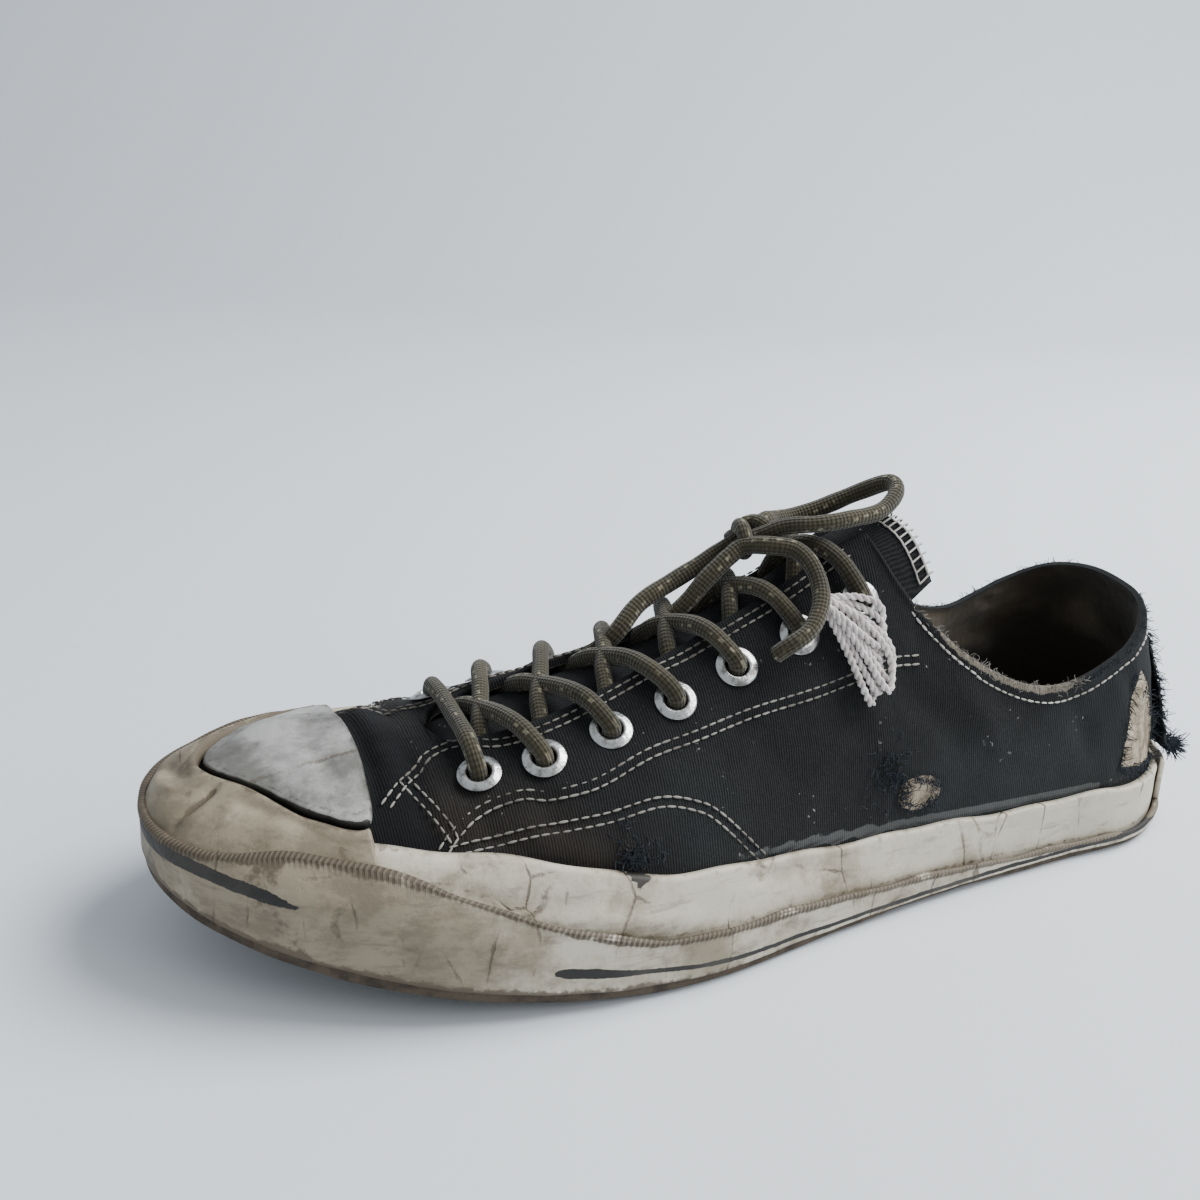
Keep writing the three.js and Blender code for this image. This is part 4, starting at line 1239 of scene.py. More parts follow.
CAP_DENTS = [            # line over the top as (x, y), half width, height
    ([(126, -14), (120, -2), (114, 8)], 2.2, -0.5),
    ([(108, -20), (110, 0), (106, 18)], 3.0, -0.45),
    ([(131, -12), (128, -20), (120, -28)], 1.6, -0.6),
]
BUMPER_CREASES = [
    ([(131, 3), (137, 6), (143, 8)], 1.5, -1.5),
    ([(136, -3), (140, -10), (141, -20)], 1.8, -1.2),
    ([(112, 27), (122, 18), (131, 9)], 1.6, -0.9),
    ([(140, 0), (143, -8), (142, -18)], 1.4, 0.9),
]
TONGUE_CREASES = [
    ([(-20, -18), (-24, 0), (-20, 18)], 3.5, 0.8),
    ([(30, -16), (27, 0), (31, 16)], 3.0, -0.7),
    ([(4, -16), (1, 2), (6, 16)], 3.0, 0.6),
]


def cap_rise(p):
    return 0.4 * waves(p, 18, 51) + 0.12 * waves(p, 6, 52) + ridges_over(p, CAP_DENTS)


def build_cap():
    count, rings = 260, 46
    outline = closed_line(CAP_OUTLINE, count)
    part = np.linspace(0.02, 1, rings)
    plan = np.array(CAP_MIDDLE) + (outline - CAP_MIDDLE)[None] * part[:, None, None]
    away = (1 - part) * CAP_REACH
    height = TOE_CAP - 0.9 * (1 - rounding(away, CAP_LIP, 2))
    point, normal = seat(plan[..., 0], plan[..., 1])
    rise = cap_rise(point)
    top = point + normal * (height[:, None] + rise)[..., None]
    skirt = point[-1:] + normal[-1:] * 0.1
    centre = top[:1].mean(axis=1, keepdims=True)
    all_points = np.vstack([top.reshape(-1, 3), skirt.reshape(-1, 3), centre.reshape(-1, 3)])
    faces, _ = grid_faces(rings + 1, count, wrap=True, flip=True)
    faces = faces.tolist()
    last = len(all_points) - 1
    faces += [[last, c, (c + 1) % count] for c in range(count)]
    edge = np.exp(-(away[:, None] / 1.5) ** 2) * np.ones(count)
    # Painted shade: a black line in the gap along the cap's edge ahead of its rear, where it meets the
    # bumper, wider on the outer side.
    front = step_up(plan[..., 0], 101.2, 103.5)
    line = 0.1 + 0.5 * step_up(plan[..., 1], -12, 2)
    black = np.clip(0.5 + (line - away[:, None]) / 0.8, 0, 1) * front
    grime = 0.42 + 0.4 * waves(point, 16, 53) + 0.4 * edge * (1 - front)
    grime = grime + 0.45 * step_up(plan[..., 0], 108, 130)
    crust = 0.5 * np.exp(-((away[:, None] - 2.2) / 0.9) ** 2) * front + 0.65 * edge * (1 - front)
    fields = {"grime": grime, "crust": crust, "stripe": black}
    spread = {k: np.concatenate([v.ravel(), v[-1], [v[0].mean()]]) for k, v in fields.items()}
    piece = mesh_piece("cap_shell", all_points, faces, CAP_RUBBER, spread)
    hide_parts("toe_cap")


build_cap()


def build_bumper():
    """Rubber from the cap's edge down to the foxing, round the toe from side to side."""
    outline = closed_line(CAP_OUTLINE, 1200)
    start = int(np.argmin(np.hypot(*(outline - CAP_OUTLINE[4]).T)))
    stop = int(np.argmin(np.hypot(*(outline - CAP_OUTLINE[0]).T)))
    path = np.roll(outline, -start, axis=0)
    path = path[:(stop - start) % len(outline) + 1]
    count = 240
    inner = points_at(path, np.arange(len(path)), count)
    turn = np.linspace(0, 2 * math.pi, 4000, endpoint=False)
    low = ring_row(BUMPER - 0.1, lambda x: foxing_top(x) + 0.1, turn)
    ahead = low[low[:, 0] > BUMPER_BACK]
    outer = points_at(ahead, run_along(ahead), count)[:, :2]
    rows = 34
    t = np.linspace(0, 1, rows)[:, None, None]
    gap = 1.3 / np.maximum(np.linalg.norm(outer - inner, axis=1), 1.5)[None, :, None]
    plan = inner[None] + (outer - inner)[None] * (gap + (1 - gap) * t)
    point, normal = seat(plan[..., 0], plan[..., 1])
    full = np.linalg.norm(outer - inner, axis=1)[None, :]
    from_inner = t[..., 0] * full
    from_ends = np.minimum(np.arange(count), np.arange(count)[::-1])[None, :] * 1.0
    height = BUMPER - BUMPER_LIP * (1 - rounding(np.minimum(from_inner, from_ends), BUMPER_LIP, 2))
    rise = rubber_rise(point) * 0.8 + 0.25 * waves(point, 12, 57) + ridges_over(point, BUMPER_CREASES)
    face = point + normal * (height + rise)[..., None]
    skirt_in = point[:1] + normal[:1] * 0.2
    skirt_out = point[-1:] + normal[-1:] * 0.6
    sheet = np.concatenate([skirt_in, face, skirt_out], axis=0)
    faces, _ = grid_faces(rows + 2, count, flip=True)
    near = np.exp(-(from_inner / 1.2) ** 2)
    foot = np.exp(-((full - from_inner) / 1.2) ** 2)
    crust = 0.8 * near + 0.5 * step_up(waves(point, 10, 58), 0.0, 1.1) + 0.3 * foot
    crust = crust + ridges_over(point, [(BUMPER_CREASES[0][0], 1.0, 1.0)])
    grime = 1.1 + 0.35 * waves(point, 22, 59)
    # Painted shade: black along the bumper's inner edge, in the gap next to the cap, on the outer side.
    black = np.clip(0.55 - from_inner * 1.2, 0, 1) * step_up(plan[..., 1], -12, 0)
    fields = {"grime": grime, "crust": crust, "stripe": black}
    spread = {k: np.concatenate([v[0], v.ravel(), v[-1]]) for k, v in fields.items()}
    piece = mesh_piece("bumper_rubber", sheet.reshape(-1, 3), faces, FOXING_RUBBER, spread)
    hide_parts("toe_bumper")


build_bumper()


# ---------- outsole and insole ----------
def sole_row(inset, height, count=360):
    turn = np.linspace(0, 2 * math.pi, count, endpoint=False)
    x = -(HALF - inset) * np.cos(turn)
    side = np.where(turn < math.pi, 1, -1)
    return np.stack([x, along(MIDDLE, x) + half_width(x, side, inset), height(x)], -1)


def arch(x):
    part = np.clip((x - ARCH["back"]) / ARCH["length"], 0, 1)
    return ARCH["rise"] * np.maximum(0, np.sin(math.pi * part))


TREAD = {"width": 3.4, "depth": 1.5, "pitch": 17, "swing": 7, "teeth": 4, "border": 9}
OUTSOLE_INSET = 0.6


def prism(x):
    """One zigzag groove cutter, square to the bent underside."""
    low = float(along(INNER_EDGE, x)) + TREAD["border"]
    high = float(along(OUTER_EDGE, x)) - TREAD["border"]
    teeth = TREAD["teeth"]
    zigzag = [((0.5 if i % 2 else -0.5) * TREAD["swing"], low + (high - low) * i / teeth)
              for i in range(teeth + 1)]
    half = TREAD["width"] / 2
    loop = [(dx + half, y) for dx, y in zigzag] + [(dx - half, y) for dx, y in zigzag[::-1]]
    tilt = math.atan2(float(spring(x + 1) - spring(x - 1)), 2)
    rows = []
    for depth in (TREAD["depth"] - 8, TREAD["depth"]):
        for dx, y in loop:
            rows.append((x + dx * math.cos(tilt) - depth * math.sin(tilt), y,
                         float(spring(x)) + dx * math.sin(tilt) + depth * math.cos(tilt)))
    n = len(loop)
    faces = [[i, (i + 1) % n, n + (i + 1) % n, n + i] for i in range(n)]
    for i in range(teeth):
        a, b, c, d = i, i + 1, n - 2 - i, n - 1 - i
        faces.append([a, d, c, b])
        faces.append([n + a, n + b, n + c, n + d])
    return np.array(rows), faces


def build_outsole():
    count = 360
    rows = []
    for inset in (24, 12, 6, OUTSOLE_INSET + 1.6):
        rows.append(sole_row(inset, lambda x: spring(x) + arch(x), count))
    for t in (0.3, 0.7, 1.0):
        edge = OUTSOLE_INSET + 1.6 * (1 - t)
        rows.append(sole_row(edge, lambda x, k=t: spring(x) + arch(x) * 0.6 + 1.3 * k * k, count))
    rows.append(sole_row(OUTSOLE_INSET, outsole_top, count))
    for inset in (6, 24):
        rows.append(sole_row(inset, outsole_top, count))
    grid = np.array(rows)
    bare = grid[4:8]
    bare[..., 1] += 0.25 * waves(bare, 18, 71) * side_of(bare)
    grid[4:8] = bare
    points = grid.reshape(-1, 3)
    faces, _ = grid_faces(len(rows), count, wrap=True)
    faces = faces.tolist()
    faces += [[i, (count - i) % count, (count - i - 1) % count, i + 1] for i in range(1, count // 2 - 1)]
    faces += [[0, count - 1, 1], [count // 2 - 1, count // 2 + 1, count // 2]]
    shift = (len(rows) - 1) * count
    faces += [[shift + i + 1, shift + (count - i - 1) % count, shift + (count - i) % count, shift + i]
              for i in range(1, count // 2 - 1)]
    half = shift + count // 2
    faces += [[shift + 1, shift + count - 1, shift], [half, half + 1, half - 1]]
    piece = mesh_piece("outsole_tread", points, faces, OUTSOLE_RUBBER, smooth=False)
    parts = []
    for start, stop in ((-134, -88), (-4, 122)):
        x = start
        while x <= stop:
            cut, sides = prism(x)
            parts.append((cut, sides, [(0, 0)] * sum(len(f) for f in sides)))
            x += TREAD["pitch"]
    points, faces, _ = joined(parts)
    cutter = mesh_piece("tread_cutter", points, faces, OUTSOLE_RUBBER)
    face_out(piece)
    face_out(cutter)
    cut = piece.modifiers.new("tread", "BOOLEAN")
    cut.operation = "DIFFERENCE"
    cut.solver = "EXACT"
    cut.object = cutter
    piece.data = settled_mesh(piece)
    bpy.data.objects.remove(cutter)
    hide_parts("outsole")


build_outsole()


def build_insole():
    count = 240
    inset = RUBBER_INSET + WALL + GAP
    rows = []
    part = np.linspace(0, 1, 22)
    edge = sole_row(inset + 1.2, lambda x: spring(x) + LAST_FLOOR + INSOLE, count)
    line = np.stack([edge[:, 0], along(MIDDLE, edge[:, 0]), edge[:, 2]], -1)
    for t in part:
        rows.append(line + (edge - line) * t)
    rows.append(sole_row(inset + 0.4, lambda x: spring(x) + LAST_FLOOR + INSOLE - 0.7, count))
    rows.append(sole_row(inset, lambda x: spring(x) + LAST_FLOOR + INSOLE - 1.8, count))
    rows.append(sole_row(inset, lambda x: spring(x) + LAST_FLOOR, count))
    grid = np.array(rows)
    x, y = grid[..., 0], grid[..., 1]
    heel = np.exp(-(((x + 112) / 24) ** 2 + ((y + 3) / 20) ** 2))
    ball = np.exp(-(((x - 52) / 30) ** 2 + ((y - 2) / 30) ** 2))
    top = np.array([1.0] * len(part) + [0.3, 0, 0])[:, None]
    grid[..., 2] -= (1.0 * heel + 0.8 * ball + 0.2 * waves(grid, 14, 61)) * top
    faces, cells = grid_faces(len(rows), count, wrap=True, flip=True)
    uv = np.concatenate([grid, grid[:, :1]], axis=1)[..., :2].reshape(-1, 2) * MM
    grime = 0.3 + 0.8 * heel + 0.6 * ball
    piece = welded("insole_sock", grid.reshape(-1, 3), faces, SOCK, {"grime": grime},
                   uv[cells].reshape(-1, 2))
    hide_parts("insole")


build_insole()


# ---------- tongue ----------
TONGUE_FRONT = 95
TONGUE_OUTER = [(-50, 19), (-30, 23), (0, 24), (40, 25), (70, 22), (95, 15)]
TONGUE_INNER = [(-50, -17), (-30, -20), (0, -20), (40, -21), (70, -19), (95, -11)]
TONGUE_REAR = [(0, -50), (0.19, -43.5), (0.42, -39), (0.6, -40.5), (0.8, -46), (1, -50)]


def tongue_place(u, v):
    rear = along(TONGUE_REAR, u)
    x = TONGUE_FRONT + (rear - TONGUE_FRONT) * v
    y = along(TONGUE_INNER, x) + (along(TONGUE_OUTER, x) - along(TONGUE_INNER, x)) * u
    return x, y


def build_tongue():
    rows, columns = 110, 40
    v, u = np.meshgrid(np.linspace(0, 1, rows), np.linspace(0, 1, columns), indexing="ij")
    x, y = tongue_place(u, v)
    point, normal = seat(x, y)
    from_edge = np.minimum(np.minimum(u, 1 - u) * 40, (1 - v) * 140)
    edge = rounding(from_edge, TONGUE / 2, 2)
    worn = 0.35 * waves(point, 18, 81) * step_up(-x, -40, 40) + ridges_over(point, TONGUE_CREASES)
    worn = np.clip(worn, -0.6, 0.7) * step_up(from_edge, 0, 4)
    mid = TONGUE_TOP - TONGUE / 2
    top = point + normal * (mid + TONGUE / 2 * edge + worn)[..., None]
    under = point + normal * (mid - TONGUE / 2 * edge + worn)[..., None]
    sheet = np.concatenate([top, under[:, ::-1]], axis=1)
    wide = 2 * columns
    faces, cells = grid_faces(rows, wide, wrap=True)
    faces = faces.tolist()
    for row, order in ((0, 1), (rows - 1, -1)):
        for c in range(columns - 1):
            a, b = row * wide + c, row * wide + c + 1
            d, e = row * wide + wide - 1 - c, row * wide + wide - 2 - c
            faces.append([a, b, e, d][::-order])
    flat = np.concatenate([y, y[:, ::-1]], axis=1)
    lengthwise = np.concatenate([x, x[:, ::-1]], axis=1)
    uv = np.stack([flat, lengthwise], -1)
    uv = np.concatenate([uv, uv[:, :1]], axis=1).reshape(-1, 2) * MM
    corner = uv[cells].reshape(-1, 2).tolist()
    corner += [[0.0, 0.0]] * (4 * 2 * (columns - 1))
    zero = np.zeros(sheet.shape[:2])
    rim = np.concatenate([step_up(-from_edge, -1.6, -0.4)] * 2, axis=1)
    fields = {"fade": zero + 0.25, "dust": 0.25 * rim, "grime": zero + 0.2}
    piece = welded("tongue_cloth", sheet.reshape(-1, 3), faces, TONGUE_CANVAS, fields,
                   corner)
    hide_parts("tongue")


build_tongue()


# ---------- eyelets ----------
def build_eyelets():
    bore, flange, thick, depth = 2.75, 5.35, 0.95, 1.4
    base = 0.75
    profile = [(bore, -depth), (bore, 0.2), (bore + 0.12, base + thick * 0.75), (bore + 0.5, base + thick),
               (bore + 1.0, base + thick * 0.92), (bore + 1.7, base + thick * 0.62),
               (flange - 0.5, base + 0.45), (flange - 0.12, base + 0.3), (flange, base + 0.12),
               (flange - 0.1, base), (bore + 0.55, base), (bore + 0.45, -depth)]
    count = 44
    turn = np.linspace(0, 2 * math.pi, count, endpoint=False)
    chance = np.random.default_rng(7)
    for number, (x, y) in enumerate(EYELETS):
        side = "outer" if number < len(EYELET_X) else "inner"
        row = number % len(EYELET_X) + 1
        point, normal = seat(x, y)
        rise = float(canvas_rise(point[None])[0]) - 0.55
        across = np.cross([1.0, 0, 0], normal)
        across /= np.linalg.norm(across)
        ahead = np.cross(normal, across)
        squash = 1 + chance.uniform(-0.02, 0.02)
        dent = chance.uniform(0, 6.3)
        rows = []
        for r, h in profile:
            bent = 0.12 * np.cos(turn - dent) * (1 if r > bore + 1 else 0)
            ring = (np.cos(turn)[:, None] * ahead * r * squash + np.sin(turn)[:, None] * across * r / squash
                    + normal * (h + rise + bent)[:, None])
            rows.append(point + ring)
        sheet = np.array(rows + rows[:1])
        faces, _ = grid_faces(len(sheet), count, wrap=True)
        # Painted shade for each profile row: dark down the bore and at and under the flange's edge, light on
        # the rolled rim.
        corner = np.repeat([1.0, 0.9, 0.35, 0, 0, 0.15, 0.1, 0.3, 0.8, 1, 1, 1, 1.0], count)
        piece = welded(f"washer_{side}_{row}", sheet.reshape(-1, 3), faces, EYELET_METAL,
                       {"corner": corner}, None)
        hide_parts(f"eyelet_{side}_{row}")


build_eyelets()


# ---------- lace ----------
EYELET_HEIGHT = LACE / 2 + 1.8
THROAT_MIDDLE = 1.5
THROAT_START = 5
RISER_INNER = [(30, -2, 3.6), (22, -3, 7), (12, -3.5, 7.8), (4, -3.5, 8.2), (-0.5, -3.2, 8.6)]
RISER_OUTER = [(12.5, 1.5, 3.2), (7, 2, 6), (2, 2, 7.6), (-0.5, 1.9, 8.2)]
KNOT_AT = (-8, -0.5, 8.5)
BOW = [(-15, -2.5, 9.5), (-19.5, -5, 9.6), (-26, -6.8, 9), (-34, -6.8, 6.6), (-41, -5, 3.6),
       (-45.2, -0.8, 1.4), (-43.5, 4, 0.9), (-37, 6.8, 2.2), (-29, 6.8, 5.2), (-21.5, 6, 7.6),
       (-15, 3.5, 8.8)]
HANGING_END = [(-10, 5.8, 8.2), (-13.5, 8.1, 6.9), (-14.7, 11.6, 6.9), (-14.2, 15.3, 7.5),
               (-11.8, 18.1, 8.8), (-7.6, 20.4, 9.5), (-3, 21.6, 9.2), (-0.4, 22.1, 7.6), (1.4, 22.5, 5.5)]
TUFT_ROOT = (-14.3, 17.2, 6.6)
TUFT_TIP = (-30.4, 26.6, 2.8)
TUFT_LOOPS = 6


def route(rows):
    return np.array([over(row) for row in rows])


def sagging(path, size, seed):
    """A little looseness, so that no strand is a perfect arc."""
    return path + size * 0.5 * np.stack([waves(path, 14, seed + k) for k in range(3)], -1)


def lace_tube(path, seed, radius=LACE / 2, flatten=0.92):
    uneven = radius * (1 + 0.035 * waves(path, 6, seed) - 0.02)
    return tube(path, uneven, 20, flatten)


def cord_mesh(name, parts):
    """A piece of lace from one or more tubes."""
    points, faces, corners = joined(parts)
    return mesh_piece(name, points, faces, LACE_CORD, corners=corners)


def between_eyelets(start, end, rows):
    """Places between two eyelets, from the part of the way across and the height of each row."""
    return [(start[0] + (end[0] - start[0]) * part, start[1] + (end[1] - start[1]) * part, height)
            for part, height in rows]


def strand_route(row, side):
    """From under the far facing, up out of the throat, over the near facing and down its eyelet."""
    to_y = (EYELET_OUTER_Y if side > 0 else EYELET_INNER_Y)[row + 1]
    from_y = (EYELET_INNER_Y if side > 0 else EYELET_OUTER_Y)[row]
    start = (EYELET_X[row] - 5, THROAT_MIDDLE - side * THROAT_START)
    end = (EYELET_X[row + 1], to_y)
    rows = [(EYELET_X[row] - 1.5, from_y * 0.72, -3.4), (EYELET_X[row] - 3.2, from_y * 0.5, -2.0)]
    rows += between_eyelets(start, end, [(0, -0.2), (0.25, 0.9), (0.5, 2.6), (0.7, EYELET_HEIGHT - 0.4),
                                         (0.86, EYELET_HEIGHT - 0.5)])
    rows += [(end[0], end[1] - side * 0.5, 2.3), (end[0], end[1] + side * 0.1, -0.4), (end[0], end[1], -2.4)]
    return rows


def build_laces():
    inner, outer = (EYELET_X[0], EYELET_INNER_Y[0]), (EYELET_X[0], EYELET_OUTER_Y[0])
    bar = between_eyelets(inner, outer, [
        (0, -2.4), (0.01, -0.2), (0.04, 2.3), (0.14, EYELET_HEIGHT), (0.3, EYELET_HEIGHT - 0.5), (0.5, 3),
        (0.7, EYELET_HEIGHT - 0.5), (0.86, EYELET_HEIGHT), (0.96, 2.3), (0.99, -0.2), (1, -2.4)])
    piece = cord_mesh("lace_bar_cord", [lace_tube(sagging(smooth_line(route(bar), 0.9), 0.3, 5), 6)])
    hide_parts("lace_bar")
    for row in range(len(EYELET_X) - 1):
        parts = []
        for side in (1, -1):
            path = sagging(smooth_line(route(strand_route(row, side)), 0.9), 0.35, 20 + 3 * row + side)
            parts.append(lace_tube(path, 40 + row))
        piece = cord_mesh(f"lace_strands_{row + 1}", parts)
        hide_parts(f"lace_crossing_{row + 1}")


build_laces()


def knot_wraps():
    """Two turns of the lace round the others, where they are tied."""
    middle = over(KNOT_AT)
    _, normal = seat(KNOT_AT[0], KNOT_AT[1])
    ahead = np.array([-1.0, 0.05, 0.25])
    ahead /= np.linalg.norm(ahead)
    across = np.cross(normal, ahead)
    across /= np.linalg.norm(across)
    up = np.cross(ahead, across)
    parts = []
    for offset, tilt, start in ((-2.6, 0.35, 0.0), (1.8, -0.4, 1.2)):
        t = np.linspace(start, start + 2 * math.pi * 1.08, 50)[:, None]
        wide, tall = 4.1, 3.3
        path = (middle + ahead * (offset + 1.7 * np.sin(t * 0.5 + tilt) + tilt * 3 * np.cos(t))
                + across * wide * np.cos(t) + up * tall * np.sin(t))
        parts.append(lace_tube(path, 77, LACE / 2 * 0.94))
    return parts


TUFT_SHAPE = [(0, 0.25), (0.22, 0.55), (0.5, 0.85), (0.8, 1.0), (0.95, 0.85), (1.0, 0.4)]
PLY_TURN = 4.2          # length of one turn of a yarn's two plies
PLY_OFFSET = 0.5
PLY_RADIUS = 0.55


def core_yarns():
    """The pale core pulled out of the lace's end: plied yarns that loop back on themselves."""
    parts = []
    chance = np.random.default_rng(12)
    start, end_at = np.array(TUFT_ROOT), np.array(TUFT_TIP)
    away = end_at - start
    away /= np.linalg.norm(away[:2])
    beside = np.array([-away[1], away[0], 0])
    span = np.linalg.norm((end_at - start)[:2])
    for i in range(TUFT_LOOPS):
        spread = (i / (TUFT_LOOPS - 1) - 0.5) * 2
        reach = span * (1.0 - 0.16 * abs(spread) ** 1.5) * chance.uniform(0.92, 1.03)
        wide = 1.3 + 1.5 * chance.uniform(0.4, 1.2)
        lean_out = 3.1 * spread
        lift = chance.uniform(-0.5, 1.5)
        rows = []
        for half, order in ((1, 1), (-1, -1)):
            for part, beam in TUFT_SHAPE[::order]:
                aside = half * wide * beam + lean_out * part
                rows.append(start + away * reach * part + beside * aside)
        high, low = TUFT_ROOT[2], TUFT_TIP[2]
        last = len(rows) - 1
        rows = [(r[0], r[1], low + (high - low) * abs(2 * k / last - 1) ** 1.5 + lift * step_up(k, 0, 3)
                 + 0.4 * math.sin(k + i)) for k, r in enumerate(rows)]
        middle = smooth_line(route(rows), 0.7)
        _, across, up = frames_along(middle)
        turn = np.linspace(0, line_length(middle) / PLY_TURN * 2 * math.pi, len(middle))[:, None]
        for half in (0, math.pi):
            ply = middle + PLY_OFFSET * (np.cos(turn + half) * across + np.sin(turn + half) * up)
            parts.append(tube(ply, PLY_RADIUS, 6))
    return parts


def build_free_lace():
    knot = cord_mesh("lace_knot_wraps", knot_wraps())
    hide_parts("lace_knot")

    through = [(-5, -2.2, 8.8), (-10, -2.2, 9.2)]
    back = [(-11, 2, 8.4), (-7.5, 0.2, 8.2)]
    tucked = [(38, -6.5, -0.6), (34.5, -4, 0.9)]
    bow_path = smooth_line(route(tucked + RISER_INNER + through + BOW + back), 1.0)
    bow = cord_mesh("lace_bow_cord", [lace_tube(bow_path, 71)])
    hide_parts("lace_riser_inner", "lace_bow")

    through = [(-5, 2.0, 8.6)]
    tucked = [(21.5, -3, -0.6), (17.5, -0.4, 0.7)]
    end_path = smooth_line(route(tucked + RISER_OUTER + through + HANGING_END), 1.0)
    end = cord_mesh("lace_end_cord", [lace_tube(end_path, 73)])
    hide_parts("lace_riser_outer", "lace_end")

    points, faces, corners = joined(core_yarns())
    core = mesh_piece("lace_core_yarns", points, faces, CORE_YARN, corners=corners)
    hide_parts("lace_core")


build_free_lace()


# ---------- stitches and loose threads ----------
def stitch_tree():
    """Repeats a rounded stitch along lines. Sizes are in metres."""
    tree = bpy.data.node_groups.new("stitch rows", "GeometryNodeTree")
    face = tree.interface
    face.new_socket("Lines", in_out="INPUT", socket_type="NodeSocketGeometry")
    sizes = {}
    for name, value in (("Stitch spacing", 0.003), ("Stitch length", 0.0022), ("Thread thickness", 0.0007)):
        socket = face.new_socket(name, in_out="INPUT", socket_type="NodeSocketFloat")
        socket.default_value = value
        sizes[name] = socket.identifier
    socket = face.new_socket("Seed", in_out="INPUT", socket_type="NodeSocketInt")
    socket.default_value = 4
    sizes["Seed"] = socket.identifier
    socket = face.new_socket("Thread", in_out="INPUT", socket_type="NodeSocketMaterial")
    sizes["Thread"] = socket.identifier
    face.new_socket("Stitches", in_out="OUTPUT", socket_type="NodeSocketGeometry")
    nodes, links = tree.nodes, tree.links
    given = nodes.new("NodeGroupInput")
    out = nodes.new("NodeGroupOutput")
    curve = nodes.new("GeometryNodeMeshToCurve")
    links.new(given.outputs["Lines"], curve.inputs[0])
    points = nodes.new("GeometryNodeCurveToPoints")
    points.mode = "LENGTH"
    links.new(curve.outputs[0], points.inputs["Curve"])
    links.new(given.outputs["Stitch spacing"], points.inputs["Length"])
    ball = nodes.new("GeometryNodeMeshUVSphere")
    ball.inputs["Segments"].default_value = 7
    ball.inputs["Rings"].default_value = 6
    ball.inputs["Radius"].default_value = 0.5
    size = nodes.new("ShaderNodeCombineXYZ")
    links.new(given.outputs["Thread thickness"], size.inputs["X"])
    links.new(given.outputs["Thread thickness"], size.inputs["Y"])
    links.new(given.outputs["Stitch length"], size.inputs["Z"])
    shape = nodes.new("GeometryNodeTransform")
    links.new(ball.outputs["Mesh"], shape.inputs["Geometry"])
    links.new(size.outputs[0], shape.inputs["Scale"])
    place = nodes.new("GeometryNodeInstanceOnPoints")
    links.new(points.outputs["Points"], place.inputs["Points"])
    links.new(shape.outputs[0], place.inputs["Instance"])
    turn = nodes.new("FunctionNodeAlignRotationToVector")
    turn.axis = "Z"
    links.new(points.outputs["Tangent"], turn.inputs["Vector"])
    links.new(turn.outputs[0], place.inputs["Rotation"])
    vary = nodes.new("FunctionNodeRandomValue")
    vary.data_type = "FLOAT"
    vary.inputs[2].default_value = 0.82
    vary.inputs[3].default_value = 1.12
    links.new(given.outputs["Seed"], vary.inputs["Seed"])
    links.new(vary.outputs[1], place.inputs["Scale"])
    real = nodes.new("GeometryNodeRealizeInstances")
    links.new(place.outputs[0], real.inputs[0])
    paint = nodes.new("GeometryNodeSetMaterial")
    links.new(real.outputs[0], paint.inputs["Geometry"])
    links.new(given.outputs["Thread"], paint.inputs["Material"])
    links.new(paint.outputs[0], out.inputs[0])
    return tree, sizes


STITCH_TREE, STITCH_INPUTS = stitch_tree()


def stitches(name, lines, thread, spacing, length, thickness, slot="canvas"):
    """Rows of stitches along lines of points, in millimetres."""
    points, edges = [], []
    for line in lines:
        start = len(points)
        points += (np.asarray(line) * MM).tolist()
        edges += [(start + i, start + i + 1) for i in range(len(line) - 1)]
    mesh = bpy.data.meshes.new(name + "_lines")
    mesh.from_pydata(points, edges, [])
    guide = bpy.data.objects.new(name + "_lines", mesh)
    bpy.context.scene.collection.objects.link(guide)
    modifier = guide.modifiers.new("stitches", "NODES")
    modifier.node_group = STITCH_TREE
    modifier[STITCH_INPUTS["Stitch spacing"]] = spacing * MM
    modifier[STITCH_INPUTS["Stitch length"]] = length * MM
    modifier[STITCH_INPUTS["Thread thickness"]] = thickness * MM
    modifier[STITCH_INPUTS["Seed"]] = len(lines)
    modifier[STITCH_INPUTS["Thread"]] = thread
    made = settled_mesh(guide)
    bpy.data.objects.remove(guide)
    made.polygons.foreach_set("use_smooth", [True] * len(made.polygons))
    piece = bpy.data.objects.new(name, made)
    bpy.context.scene.collection.objects.link(piece)
    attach(piece, "root")
    return piece


def on_canvas(line, lift, shift=0.0, by_height=None):
    """A smooth line on the worn canvas, moved sideways by shift."""
    plan = smooth_line(line, 0.8)
    x = plan[:, 0]
    if by_height is None:
        angle = angle_at_y(x, plan[:, 1])
    else:
        angle = angle_at_z(x, plan[:, 1], by_height)
    point, normal = skin(x, angle, lift)
    ahead = np.gradient(point, axis=0)
    ahead /= np.linalg.norm(ahead, axis=1, keepdims=True)
    return point + np.cross(ahead, normal) * shift


DOUBLE = 1.15           # half the distance between the two rows of a double seam
PANEL_STITCH = (2.55, 2.25, 0.6)         # spacing, length and thickness
COLLAR_STITCH = (2.45, 2.2, 0.6)
COLLAR_SEAM = 4.6       # depth of the seam under the collar's edge
OVERLOCK = {"inset": 0.972, "edge": 0.992, "stitches": 25, "thread": 0.26, "steps": 90}


